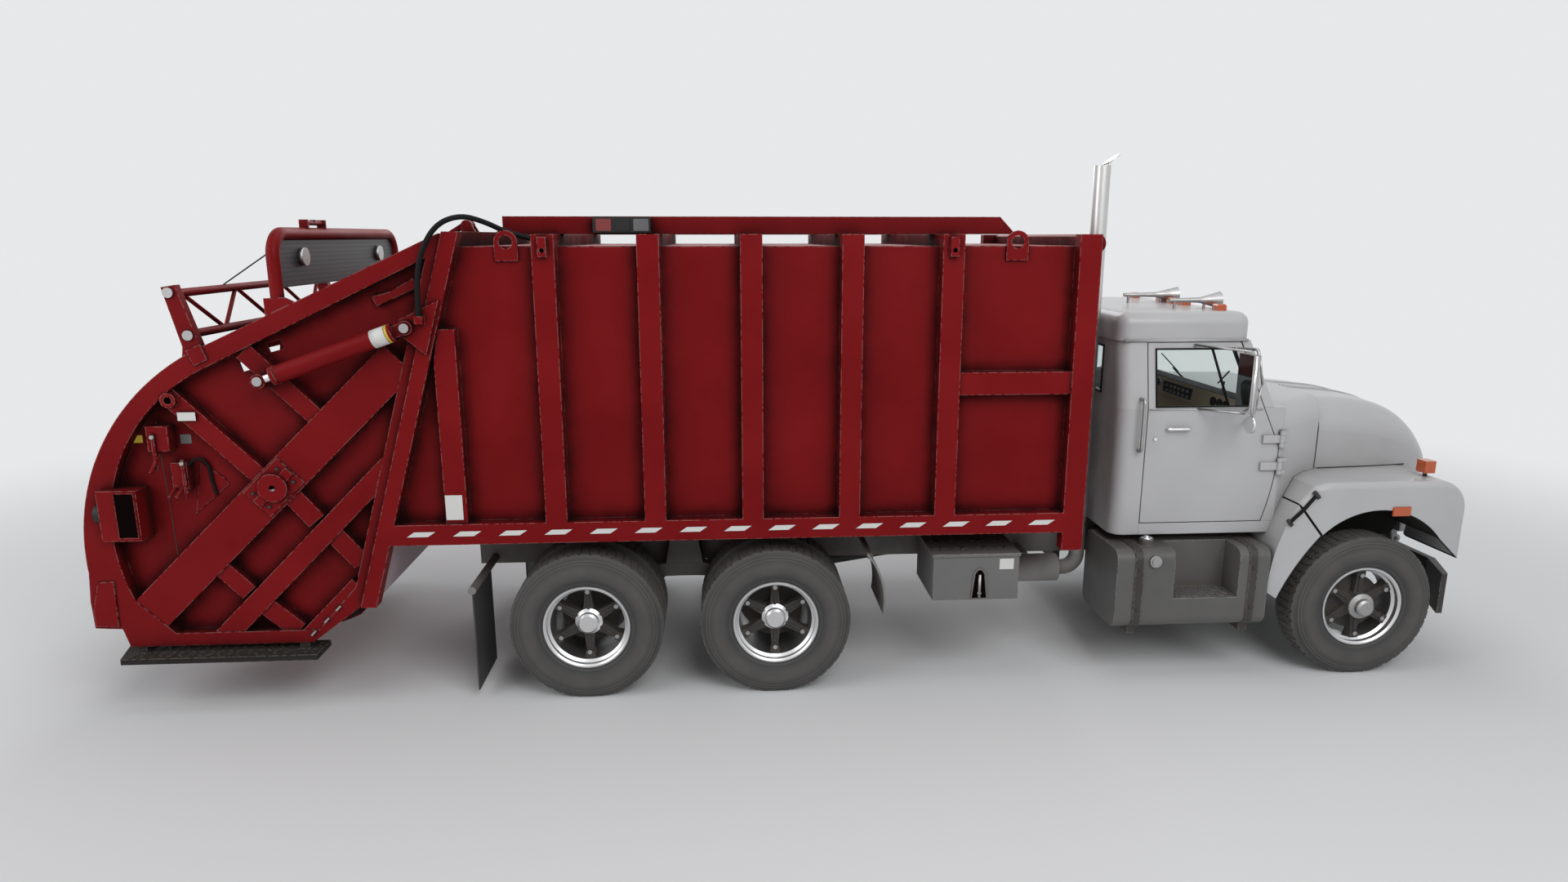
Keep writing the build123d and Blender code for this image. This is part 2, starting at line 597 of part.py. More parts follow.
def along_lift(distance):
    return (LIFT_FOOT[0] + LIFT_DIR[0] * distance, -CYLINDER_Y, LIFT_FOOT[1] + LIFT_DIR[1] * distance)


def lift_cylinders():
    tang, pin_r = 15.0, 22.0
    plate = side_plate(-BODY_HALF - BRACKET_WALL, -BODY_HALF, (LIFT_FOOT[0] - 40, LIFT_FOOT[1] - 50),
                       (LIFT_FOOT[0] - 40, LIFT_FOOT[1] + 50), (slant_x(2790) + 80, 2790),
                       (slant_x(2440) + 80, 2440))
    plate += cross_rod(*LIFT_FOOT, -CYLINDER_Y - 28, -BODY_HALF, pin_r)
    x, y, z = HOSE[0]
    plate += block(x - 25, x + 25, y - HOSE_R - 5, -BODY_HALF - BRACKET_WALL, z - 50, z)
    keep("lift_brackets", *both(plate))
    mouth, base = LIFT_RUN - 95, 80.0
    barrel = rod(along_lift(base), along_lift(mouth), BARREL_R)
    barrel += rod(along_lift(mouth - 30), along_lift(mouth), BARREL_R + 6)
    barrel += cross_rod(*LIFT_FOOT, -CYLINDER_Y - tang, -CYLINDER_Y + tang, 46)
    barrel += strip(-CYLINDER_Y - tang, -CYLINDER_Y + tang, LIFT_FOOT, along_lift(base + 20)[::2], 76)
    barrel -= rod(along_lift(base + 20), along_lift(mouth + 10), ROD_R + PIN_CLEARANCE)
    barrel -= cross_rod(*LIFT_FOOT, -CYLINDER_Y - 60, -CYLINDER_Y + 60, pin_r + PIN_CLEARANCE)
    keep("lift_barrel_right", barrel)
    keep("lift_barrel_left", left_of(barrel))
    piston = rod(along_lift(base + 25), along_lift(LIFT_RUN - 30), ROD_R)
    piston += cross_rod(*LIFT_EYE, -CYLINDER_Y - ROD_R, -CYLINDER_Y + ROD_R, 46)
    keep("lift_rod_right", piston)
    keep("lift_rod_left", left_of(piston))


# Tailgate
TOP_BEND = (-3600.0, 2522.0)
GATE_TOP = (-2134.0, 3201.0)
ARC_MIDDLE = (-4395.0, 1789.0)
ARC_END = (-4560.0, 1000.0)
EAR = ((-4578.0, 800.0), (-4574.0, 610.0), (-4400.0, 600.0), (-4365.0, GATE_BOTTOM))
BRACES = (
    (-4215.0, 690.0, -2440.0, 2405.0, 262.0, 80.0),
    (-3790.0, 480.0, -2545.0, 1715.0, 138.0, 80.0),
    (-3938.0, 2204.0, -3400.0, 1640.0, 120.0, 70.0),
    (-3412.0, 2466.0, -2990.0, 2020.0, 120.0, 70.0),
    (-3230.0, 1530.0, -3067.0, 1325.0, 130.0, 70.0),
    (-3725.0, 1015.0, -3558.0, 832.0, 120.0, 70.0),
    (-2960.0, 1225.0, -2798.0, 1028.0, 130.0, 70.0),
    (-3460.0, 735.0, -3260.0, 550.0, 130.0, 70.0),
    (-3230.0, 480.0, -2835.0, 875.0, 110.0, 80.0),
)
# columns: start x and z, end x and z, width, height off the plate
RING_BOSS = (-3900.0, 2155.0)
SLOTS = ((-3235.0, 2490.0), (-3420.0, 2365.0))


def gate_front(z):
    return slant_x(z) - RUN_CLEARANCE


def gate_face(y0, y1):
    """The tailgate's side outline, from y0 to y1."""
    foot = (gate_front(708) - 20, 708.0)
    return side_plate(y0, y1, (gate_front(GATE_TOP[1]), GATE_TOP[1]), GATE_TOP, TOP_BEND,
                      (ARC_MIDDLE, ARC_END), *EAR, (-3164.0, GATE_BOTTOM), foot, (gate_front(760), 760.0))


def gate_side():
    skin = -GATE_PLATE_Y + GATE_WALL
    plate = gate_face(-GATE_PLATE_Y, skin)
    face = gate_face(-GATE_Y, -GATE_PLATE_Y)
    window = side_plate(-GATE_Y, -GATE_PLATE_Y, (gate_front(3050) - 70, 3050.0), (-3620.0, 2376.0),
                        ((-4244.0, 1786.0), (-4286.0, 794.0)), (-4060.0, 560.0), (-3120.0, 560.0),
                        (gate_front(860) - 70, 860.0))
    side = plate + (face - window)
    for x0, z0, x1, z1, width, height in BRACES:
        side += strip(-GATE_PLATE_Y - height, -GATE_PLATE_Y, (x0, z0), (x1, z1), width) & window
    side += cross_rod(*LIFT_EYE, -CYLINDER_Y + ROD_R + RUN_CLEARANCE, -GATE_PLATE_Y, 50)
    side += strip(-GATE_Y - 4, -GATE_PLATE_Y - 70, (SHAFT_X - 120, SHAFT_Z - 116),
                  (SHAFT_X + 120, SHAFT_Z + 116), 230)
    side += cross_rod(*RING_BOSS, -GATE_Y - 14, -GATE_PLATE_Y, 48)
    side -= cross_rod(*RING_BOSS, -GATE_Y - 14, -GATE_PLATE_Y - 20, 24)
    for x, z in SLOTS:
        side -= strip(-GATE_PLATE_Y, skin, (x - 45, z - 12), (x + 45, z + 12), 60)
    side += cross_rod(SHAFT_X, SHAFT_Z, -GATE_Y - 26, -GATE_PLATE_Y, 95)
    side -= cross_rod(SHAFT_X, SHAFT_Z, -GATE_Y + 10, skin, SHAFT_R + PIN_CLEARANCE)
    return side


def gate_shell():
    half = GATE_PLATE_Y - GATE_WALL
    thick = 20.0
    mouth = (-3905.0, 2352.0)
    cover = side_plate(-half, half, (gate_front(GATE_TOP[1]), GATE_TOP[1]), GATE_TOP, TOP_BEND,
                       ((-3762.0, 2442.0), mouth), (mouth[0] + 14, mouth[1] - thick),
                       ((-3752.0, 2422.0), (TOP_BEND[0] + 8, TOP_BEND[1] - thick)),
                       (gate_front(GATE_TOP[1] - 30), GATE_TOP[1] - thick - 12))
    for y in (-HINGE_Y, HINGE_Y):
        arm = side_plate(y - 30, y + 30, (HINGE_X - 160, GATE_TOP[1] - 50), (HINGE_X - 30, HINGE_Z - 14),
                         ((HINGE_X + 33, HINGE_Z), (HINGE_X - 10, HINGE_Z + 31)),
                         (HINGE_X - 280, GATE_TOP[1] - 80))
        cover += arm
        cover -= cross_rod(HINGE_X, HINGE_Z, y - 60, y + 60, HINGE_R + PIN_CLEARANCE)
    inner = BOWL_R - 15

    def on_bowl(radius, angle):
        turn = math.radians(angle)
        return (SHAFT_X + radius * math.cos(turn), SHAFT_Z + radius * math.sin(turn))

    bowl = side_plate(-half, half, on_bowl(BOWL_R, 212), (on_bowl(BOWL_R, 255), on_bowl(BOWL_R, 295)),
                      on_bowl(inner, 295), (on_bowl(inner, 255), on_bowl(inner, 212)))
    lip = on_bowl(BOWL_R, 212)
    lip_in = on_bowl(inner, 212)
    sill = side_plate(-half, half, lip, lip_in, (-4470.0, lip_in[1] + 60), (-4540.0, 1000.0),
                      (-4545.0, 800.0), (-4440.0, 800.0))
    keep("hopper", bowl + sill)
    panel = strip(-half, half, (SHAFT_X + 40, SHAFT_Z + 120), (-3160.0, 2800.0), 45)
    keep("gate_cover", cover + (panel & gate_face(-half, half)))


def packer():
    half = GATE_PLATE_Y - GATE_WALL - RUN_CLEARANCE
    tip = BOWL_R - 15 - BLADE_GAP
    blade = cross_rod(0, 0, -half, half, SHAFT_R + 18)
    blade += side_plate(-half, half, (0.0, -34.0), ((tip * 0.6, -62.0), (tip, 0.0)), (tip, 40.0), (0.0, 55.0))
    blade += cross_rod(0, 0, -GATE_Y + 12, GATE_Y - 12, SHAFT_R)
    keep("packer_blade", Pos(SHAFT_X, 0, SHAFT_Z) * Rot(0, -BLADE_REST, 0) * blade)


def gate_fittings():
    side = gate_side()
    keep("gate_side_right", side)
    keep("gate_side_left", left_of(side))
    inner = STEP_OUTER - STEP_WIDTH
    step = flat_plate(STEP_TOP - STEP_WALL, STEP_TOP, (-4390.0, -STEP_OUTER), (-3115.0, -STEP_OUTER),
                      (-3115.0, -inner), (-4460.0, -inner))
    for x in (-4330.0, -3260.0):
        step += block(x, x + 60, -GATE_Y + 10, -GATE_PLATE_Y, STEP_TOP, GATE_BOTTOM)
    keep("riding_steps", *both(step))
    pod = block(-4398, -4150, -GATE_PLATE_Y - 150, -GATE_PLATE_Y, 1235, 1575)
    pod += rod((-4440, -GATE_PLATE_Y - 85, 1410), (-4390, -GATE_PLATE_Y - 85, 1410), 62)
    lever_box = block(-4063, -3930, -GATE_PLATE_Y - 95, -GATE_PLATE_Y, 1822, 1986)
    lever_box += rod((-4000, -GATE_PLATE_Y - 60, 1830), (-4040, -GATE_PLATE_Y - 140, 1690), 12)
    low_box = block(-3950, -3850, -GATE_PLATE_Y - 75, -GATE_PLATE_Y, 1560, 1740)
    for x in (-3925, -3880):
        low_box += rod((x, -GATE_PLATE_Y - 50, 1600), (x - 30, -GATE_PLATE_Y - 130, 1520), 10)
    keep("lamp_pods_and_controls", *both(pod - side), lever_box - side, low_box - side)


def gate_top():
    frame_x, leg_y, top = -3170.0, GATE_Y - HOOP_R - 1, 3200.0
    foot = GATE_TOP[1] + (frame_x - GATE_TOP[0]) * 0.46
    path = [(frame_x, -leg_y, foot - 40), (frame_x, -leg_y, top), (frame_x, leg_y, top),
            (frame_x, leg_y, foot - 40)]
    hoop = pipe(path, HOOP_R, 150)
    hoop += block(frame_x - 4, frame_x + 4, -leg_y + 20, leg_y - 20, 2860, top)
    for y in FAIRLEAD_Y:
        hoop += block(frame_x - 30, frame_x + 30, y - 8, y + 8, top, top + 95)
    hoop += cross_rod(frame_x, top + 72, *FAIRLEAD_Y, 16)
    foot_plate = side_plate(-GATE_Y, -GATE_Y + 14, (-3240.0, 2600.0), (-3240.0, 2800.0), (-3110.0, 2806.0),
                            (-2960.0, 2730.0), (-2960.0, 2600.0))
    for piece in both(foot_plate):
        hoop += piece
    keep("hoop_guard", hoop - gate_face(-GATE_Y, GATE_Y))
    post = side_plate(-GATE_Y, -GATE_Y + 60, (-3854.0, 2872.0), (-3769.0, 2886.0), (-3640.0, 2430.0),
                      (-3640.0, 2300.0), (-3800.0, 2300.0), (-3770.0, 2497.0))
    post -= gate_face(-GATE_Y, GATE_Y)
    half = GATE_Y - 60
    chords = ((-3800.0, 2830.0), (-3725.0, 2575.0))
    truss = cross_rod(*chords[0], -half, half, 27) + cross_rod(*chords[1], -half, half, 27)
    bays = 6
    for i in range(bays):
        ends = [-half + 60 + (2 * half - 120) * (i + k) / bays for k in (0, 1)]
        low, high = (ends[0], ends[1]) if i % 2 else (ends[1], ends[0])
        truss += rod((chords[1][0], low, chords[1][1]), (chords[0][0], high, chords[0][1]), 14)
    keep("truss", truss + post + left_of(post))


# Cab
def cab_band(x0, x1):
    """Side wall of the cab: upright to the belt, then leaning in to the drip rail."""
    return cross_plate(x0, x1, (-CAB_HALF, CAB_FLOOR), (-CAB_HALF, BELT_Z), (-ROOF_HALF, DRIP_Z),
                       (-ROOF_HALF + CAB_WALL, DRIP_Z), (-CAB_HALF + CAB_WALL, BELT_Z),
                       (-CAB_HALF + CAB_WALL, CAB_FLOOR))


def door_outline(y0, y1, grow):
    """The door's edge; grow moves it outwards."""
    front = DOOR_FRONT + grow
    return side_plate(y0, y1, (DOOR_REAR - grow, DOOR_BOTTOM - grow), (front - 80, DOOR_BOTTOM - grow),
                      ((front - 15, DOOR_BOTTOM + 300), (front, BELT_Z - 290)), (PILLAR_FOOT + grow, BELT_Z),
                      (PILLAR_HEAD + grow, DRIP_Z - 12 + grow), (DOOR_REAR - grow, DRIP_Z - 12 + grow))


def cab_shell():
    wall = CAB_WALL
    floor = block(CAB_BACK + wall, FIREWALL_X, -CAB_HALF + wall, CAB_HALF - wall, CAB_FLOOR, CAB_FLOOR + 40)
    back = cross_plate(CAB_BACK, CAB_BACK + wall, (-CAB_HALF, CAB_FLOOR), (-CAB_HALF, BELT_Z),
                       (-ROOF_HALF, DRIP_Z), (ROOF_HALF, DRIP_Z), (CAB_HALF, BELT_Z), (CAB_HALF, CAB_FLOOR))
    back -= block(CAB_BACK, CAB_BACK + wall, -640, 640, 2060, 2400)
    quarter = cab_band(CAB_BACK + wall, DOOR_REAR - DOOR_GAP)
    for piece in both(quarter):
        back += piece
    corners = back.edges().filter_by(lambda e: e.center().X < CAB_BACK + 1 and abs(e.center().Y) > 940)
    corners = corners.filter_by(lambda e: 1500 < e.center().Z < 2300)
    keep("cab_back", fillet(corners, CAB_ROUND))
    rear_pane = block(CAB_BACK + 18, CAB_BACK + 18 + PANE, -640, 640, 2060, 2400)
    sill = cab_band(DOOR_REAR - DOOR_GAP, FIREWALL_X)
    sill -= door_outline(-CAB_HALF - 1, -ROOF_HALF + wall + 60, DOOR_GAP)
    sill -= block(DOOR_REAR - 50, FIREWALL_X + 10, -CAB_HALF - 1, 0, DOOR_BOTTOM - DOOR_GAP, DRIP_Z + 1)
    keep("cab_floor", floor + sill + left_of(sill))
    foot, head = PILLAR_FOOT, PILLAR_HEAD
    pillar = side_plate(-CAB_HALF, -ROOF_HALF + wall + 60, (foot + DOOR_GAP, BELT_Z),
                        (foot + PILLAR_WIDTH + 5, BELT_Z), (head + PILLAR_WIDTH, DRIP_Z),
                        (head + DOOR_GAP, DRIP_Z))
    pillar &= cab_band(DOOR_REAR, FIREWALL_X + 40)
    screen = side_plate(-CAB_HALF + wall + 4, CAB_HALF - wall - 4, (foot + 30, BELT_Z),
                        (foot + 30 + PANE, BELT_Z), (head + 25 + PANE, DRIP_Z), (head + 25, DRIP_Z))
    lean = cross_plate(head - 40, foot + 100, (-CAB_HALF + wall + 1, BELT_Z), (-ROOF_HALF + wall + 1, DRIP_Z),
                       (ROOF_HALF - wall - 1, DRIP_Z), (CAB_HALF - wall - 1, BELT_Z))
    keep("cab_glass", screen & lean, rear_pane)
    roof = block(CAB_BACK - 10, head + PILLAR_WIDTH + 5, -ROOF_HALF - 8, ROOF_HALF + 8, DRIP_Z, ROOF_TOP)
    roof = fillet(roof.edges().filter_by(Axis.Z), CAB_ROUND)
    roof = fillet(roof.edges().group_by(Axis.Z)[-1], CAB_ROUND - 10)
    roof -= block(CAB_BACK + wall, head + 5, -ROOF_HALF + wall, ROOF_HALF - wall, DRIP_Z, ROOF_TOP - wall)
    keep("cab_roof", roof + pillar + left_of(pillar))


def cowl_section(x, half, low, high):
    turn, sweep_in = high - 160, half - 170
    return Face(Wire([
        Line((x, -half, low), (x, -half, turn)),
        ThreePointArc((x, -half, turn), (x, 50 - half, high - 48), (x, -sweep_in, high)),
        Line((x, -sweep_in, high), (x, sweep_in, high)),
        ThreePointArc((x, sweep_in, high), (x, half - 50, high - 48), (x, half, turn)),
        Line((x, half, turn), (x, half, low)), Line((x, half, low), (x, -half, low))]))


def cowl_solid(grow, drop=0.0):
    """The cowl's outer form, grown by a clearance and carried down by drop."""
    return loft([cowl_section(FIREWALL_X, CAB_HALF + grow, CAB_FLOOR - drop, BELT_Z + grow),
                 cowl_section(COWL_FRONT, COWL_HALF + grow, HOOD_BOTTOM - drop, COWL_TOP + grow)])


def cowl():
    wall = 40.0
    inner = loft([cowl_section(FIREWALL_X + wall, CAB_HALF - wall - 20, CAB_FLOOR - 80, BELT_Z - wall),
                  cowl_section(COWL_FRONT + wall, COWL_HALF - wall, HOOD_BOTTOM - 80, COWL_TOP - wall)])
    lip = block(PILLAR_FOOT, FIREWALL_X, -CAB_HALF + CAB_WALL, CAB_HALF - CAB_WALL, BELT_Z - wall, BELT_Z)
    shell = cowl_solid(0) - inner + lip
    rear = PILLAR_FOOT - 100
    cheek = cab_band(rear, FIREWALL_X) - door_outline(-CAB_HALF - 1, -ROOF_HALF + 120, DOOR_GAP)
    cheek &= block(rear, FIREWALL_X, -CAB_HALF, 0, DOOR_BOTTOM - DOOR_GAP, BELT_Z)
    for z in DOOR_HINGE_Z:
        room = DOOR_HINGE_HALF + 34
        cheek -= block(DOOR_FRONT - 12, FIREWALL_X, -CAB_HALF, -CAB_HALF + 8, z - room, z + room)
    for piece in both(cheek):
        shell += piece
    half, out = DOOR_HINGE_HALF, DOOR_HINGE_HALF + 30
    x, y = DOOR_HINGE
    hinges = door_hinges(DOOR_PIN_R, -out, out)
    for low, high in ((-out, -half), (half, out)):
        hinges += door_hinges(DOOR_HINGE_R, low, high)
        for z in DOOR_HINGE_Z:
            hinges += block(x, x + 50, -y, -CAB_HALF + 40, z + low, z + high)
    for piece in both(hinges):
        shell += piece
    keep("cowl", shell)


def door_window(gap):
    rear, low, high = DOOR_REAR + 55 + gap, BELT_Z + 10 + gap, DRIP_Z - 55 - gap
    front = PILLAR_FOOT - 65 - 2 * gap
    return side_plate(-CAB_HALF - 1, -ROOF_HALF + 120, (rear, low), (front, low), (front - 150, high),
                      (rear, high))


def door_hinges(radius, low, high):
    """Rods about the door's hinge line; low and high are measured from each hinge's middle."""
    rods = [rod((DOOR_HINGE[0], -DOOR_HINGE[1], z + low), (DOOR_HINGE[0], -DOOR_HINGE[1], z + high), radius)
            for z in DOOR_HINGE_Z]
    return rods[0] + rods[1]


def doors():
    door = door_outline(-CAB_HALF - 1, -ROOF_HALF + CAB_WALL + 60, 0)
    door &= cab_band(DOOR_REAR - 1, DOOR_FRONT + 40)
    window, pane = [door_window(gap) for gap in (0, PIN_CLEARANCE)]
    panel = door - window
    x, z = DOOR_REAR + 145, BELT_Z - 145
    panel += pipe([(x, -CAB_HALF + 10, z), (x, -CAB_HALF - 30, z), (x + 160, -CAB_HALF - 30, z),
                   (x + 160, -CAB_HALF + 10, z)], 11, 18)
    half = DOOR_HINGE_HALF - 1
    for z in DOOR_HINGE_Z:
        panel += block(DOOR_FRONT - 130, DOOR_HINGE[0], -DOOR_HINGE[1], -CAB_HALF, z - half, z + half)
    panel += door_hinges(DOOR_HINGE_R, -half, half)
    panel -= door_hinges(DOOR_PIN_R + PIN_CLEARANCE, -half - 1, half + 1)
    lean = cross_plate(DOOR_REAR, DOOR_FRONT, (-CAB_HALF + 18, BELT_Z), (-ROOF_HALF + 18, DRIP_Z),
                       (-ROOF_HALF + 18 + PANE, DRIP_Z), (-CAB_HALF + 18 + PANE, BELT_Z))
    pane = pane & lean
    keep("door_right", panel, pane)
    keep("door_left", left_of(panel), left_of(pane))
    x, y = PILLAR_FOOT - 250, -CAB_HALF - MIRROR_REACH
    mast = pipe([(x + 50, -CAB_HALF + 60, DRIP_Z - 55), (x, y, DRIP_Z - 20), (x, y, BELT_Z - 30),
                 (x + 140, -CAB_HALF + 20, BELT_Z - 100)], 11, 40)
    mast += block(x - 45, x + 4, y - 24, y + 156, BELT_Z + 10, DRIP_Z - 60)
    mast = (mast - door).solids().sort_by(SortBy.VOLUME)[-1]
    keep("mirror_right", mast)
    keep("mirror_left", left_of(mast))


def cab_inside():
    seats = []
    for y in (-SEAT_Y, SEAT_Y):
        seat = side_plate(y - 260, y + 260, (2540.0, 1400.0), (3060.0, 1400.0), (3080.0, 1470.0),
                          (3060.0, 1545.0), (2700.0, 1520.0), (2600.0, 2120.0), (2500.0, 2120.0))
        seat += block(2600, 3000, y - 180, y + 180, CAB_FLOOR + 40, 1400)
        seats.append(seat)
    keep("seats", *seats)
    face = FIREWALL_X - 320
    dash = side_plate(-CAB_HALF + CAB_WALL + 10, CAB_HALF - CAB_WALL - 10, (face + 20, BELT_Z - 350),
                      (FIREWALL_X, BELT_Z - 490), (FIREWALL_X, BELT_Z - 40), (PILLAR_FOOT, BELT_Z - 40),
                      (face, BELT_Z - 90))
    centre = Vector(face - 210, SEAT_Y, BELT_Z - 110)
    tilt = math.radians(WHEEL_TILT)
    along = Vector(math.sin(tilt), 0, -math.cos(tilt))
    across = Vector(math.cos(tilt), 0, math.sin(tilt))
    ring = Pos(centre) * Rot(0, -WHEEL_TILT, 0) * Torus(STEER_R, 15)
    ring += rod(centre, centre + along * 320, 26)
    for angle in (90, 210, 330):
        turn = math.radians(angle)
        spoke = across * math.cos(turn) + Vector(0, math.sin(turn), 0)
        ring += rod(centre, centre + spoke * STEER_R, 11)
    keep("dashboard", dash + ring)


def cab_outside():
    horns = []
    for y, length in ((-560.0, 380.0), (110.0, 440.0)):
        x = 3330.0 - length
        horn = revolve(outline(lambda p: (p[0], y + p[1], ROOF_TOP + 62), (x, 0.0),
                               ((x, 14.0), (x + length * 0.6, 20.0), (x + length, 62.0), (x + length, 0.0))),
                       Axis((0, y, ROOF_TOP + 62), (1, 0, 0)))
        for foot in (x + 40, x + length * 0.7):
            horn += rod((foot, y, ROOF_TOP), (foot, y, ROOF_TOP + 62), 10)
        horns.append(horn)
    lamps = []
    for y in (-720, -190, 0, 190, 720):
        lamp = block(3215, 3285, y - 38, y + 38, ROOF_TOP, ROOF_TOP + 46)
        lamps.append(fillet(lamp.edges().group_by(Axis.Z)[-1], 18))
    beam_face = -BEAM_Y - BEAM_WIDTH / 2
    unit = block(-1185, -810, beam_face - 60, beam_face, RIB_TOP + 10, RIB_TOP + 108)
    keep("roof_lamps_and_horns", *lamps, *horns, unit)
    grab = pipe([(2600, -CAB_HALF, 1690), (2600, -CAB_HALF - 55, 1690), (2600, -CAB_HALF - 55, 2060),
                 (2600, -CAB_HALF + 14, 2060)], 12, 30)
    grab -= cab_band(CAB_BACK, DOOR_REAR)
    keep("grab_handles", *both(grab.solids().sort_by(SortBy.VOLUME)[-1]))


# Bonnet with front fenders
HOOD_SECTIONS = ((COWL_FRONT + 12, COWL_HALF - 5, COWL_TOP - 8, 250.0), (4520.0, 690.0, 1970.0, 250.0),
                 (4880.0, 640.0, 1855.0, 240.0), (NOSE_X, 580.0, 1640.0, 200.0))
# columns: x, half width, top height, shoulder size


def hood_section(x, side, low, crest, shoulder):
    turn, brow, mid = crest - shoulder, side - shoulder, crest - shoulder * 0.35
    cheek = side - shoulder * 0.29
    return Face(Wire([
        Line((x, -side, low), (x, -side, turn)),
        ThreePointArc((x, -side, turn), (x, -cheek, mid), (x, -brow, crest - 12)),
        ThreePointArc((x, -brow, crest - 12), (x, 0, crest), (x, brow, crest - 12)),
        ThreePointArc((x, brow, crest - 12), (x, cheek, mid), (x, side, turn)),
        Line((x, side, turn), (x, side, low)), Line((x, side, low), (x, -side, low))]))


def hood_solid():
    return loft([hood_section(x, half, HOOD_BOTTOM, top, shoulder)
                 for x, half, top, shoulder in HOOD_SECTIONS])


def hood_hollow():
    wall = HOOD_WALL
    return loft([hood_section(x - wall, half - wall, HOOD_BOTTOM - 60, top - wall, shoulder)
                 for x, half, top, shoulder in HOOD_SECTIONS])


def fender_face(y0, y1, inset):
    """Fender in side view; inset draws the hollow under it."""
    top, front = FENDER_TOP - inset, 5000.0 - inset
    rear = (3935.0 + inset, 1085.0)
    bend = 0.293 * FENDER_ROUND
    return side_plate(y0, y1, rear, (3745.0 + inset, 1318.0), (3850.0 + inset, top - 25), (3950.0, top),
                      (front - FENDER_ROUND, top), ((front - bend, top - bend), (front, top - FENDER_ROUND)),
                      (front, 960.0), (4985.0 - inset, 882.0), (4823.0, 1037.0), ((4320.0, 1262.0), rear))


def bonnet():
    shell = hood_solid() - hood_hollow()
    shell = shell.solids().sort_by(SortBy.VOLUME)[-1]
    nose_half = 575.0
    nose = block(4975, 5040, -nose_half, nose_half, 900, HOOD_BOTTOM)
    nose -= block(4975, 5040, -470, 470, 985, 1340)
    x, z = HOOD_PIVOT
    ear = side_plate(-RAIL_Y - 46, -RAIL_Y - RUN_CLEARANCE, (x - 36, z), ((x, z - 36), (x + 5, z + 36)),
                     (5040.0, 910.0), (4980.0, 910.0))
    ear -= cross_rod(*HOOD_PIVOT, -RAIL_Y - 60, -RAIL_Y, HOOD_PIN_R + PIN_CLEARANCE)
    for piece in both(ear):
        nose += piece
    slats = [block(4995, 5020, -470, 470, z, z + 22) for z in range(1010, 1330, 46)]
    grid = slats[0]
    for slat in slats[1:]:
        grid += slat
    for y in (-320, -160, 0, 160, 320):
        grid += block(5000, 5012, y - 6, y + 6, 1010, 1330 - 22)
    for y in (-470, 458):
        grid += block(4990, 5020, y, y + 12, 1000, 1325)
    keep("grille", grid)
    outer = fender_face(-FENDER_OUTER, -FENDER_INNER, 0)
    brow = outer.edges().group_by(Axis.Y)[0].filter_by(lambda e: e.center().Z > FENDER_TOP - 120)
    outer = fillet(brow, FENDER_EDGE)
    outer -= fender_face(-FENDER_OUTER + FENDER_WALL, -FENDER_INNER, FENDER_WALL)
    well = side_plate(-FENDER_OUTER + FENDER_WALL, -FENDER_INNER, (3960.0, 1085.0), (4320.0, 1262.0),
                      (4823.0, 1037.0), (4950.0, 900.0), (4950.0, 850.0), (3960.0, 850.0))
    outer -= well
    outer -= hood_solid()
    outer -= cowl_solid(RUN_CLEARANCE, 700)
    outer = outer.solids().sort_by(SortBy.VOLUME)[-1]
    keep("hood", shell + nose + outer + left_of(outer))
    lamps = [rod((5000, y, 1180), (5022, y, 1180), 92) for y in (-860, 860)]
    for y in (-1000, 1000):
        lamp = block(4740, 4820, y - 45, y + 45, FENDER_TOP + 30, FENDER_TOP + 120)
        lamp += rod((4780, y, FENDER_TOP), (4780, y, FENDER_TOP + 40), 14)
        lamps.append(lamp)
    keep("front_lamps", *lamps)


def quarter_fenders():
    def shape(y0, y1, inset):
        front = (3918.0 - inset, 1080.0)
        return side_plate(y0, y1, front, (3728.0, 1313.0 - inset),
                          ((3640.0 + inset, 1120.0), (3560.0 + inset, 660.0)), (3637.0 + inset, 610.0),
                          ((3760.0 - inset, 860.0), front))

    piece = shape(-FENDER_OUTER, -CAB_HALF + 5, 0)
    piece -= shape(-FENDER_OUTER + FENDER_WALL, -CAB_HALF + 5, FENDER_WALL)
    liner = shape(-CAB_HALF + 5, -760, 0)
    liner -= shape(-CAB_HALF + 5, -760, FENDER_WALL)
    piece += liner
    piece += block(3600, 3650, -790, -RAIL_Y, 780, 830)
    piece -= cowl_solid(0)
    piece -= block(CAB_BACK, FIREWALL_X, -CAB_HALF, CAB_HALF, CAB_FLOOR, BELT_Z)
    piece = piece.solids().sort_by(SortBy.VOLUME)[-1]
    return both(piece)


# Side equipment
def tank_section(x0, x1, grow):
    low, high = TANK_Z[0] - grow, TANK_Z[1] + grow
    solid = block(x0, x1, -TANK_OUTER - grow, -TANK_INNER + grow, low, high)
    return fillet(solid.edges().filter_by(Axis.X), TANK_ROUND + grow)


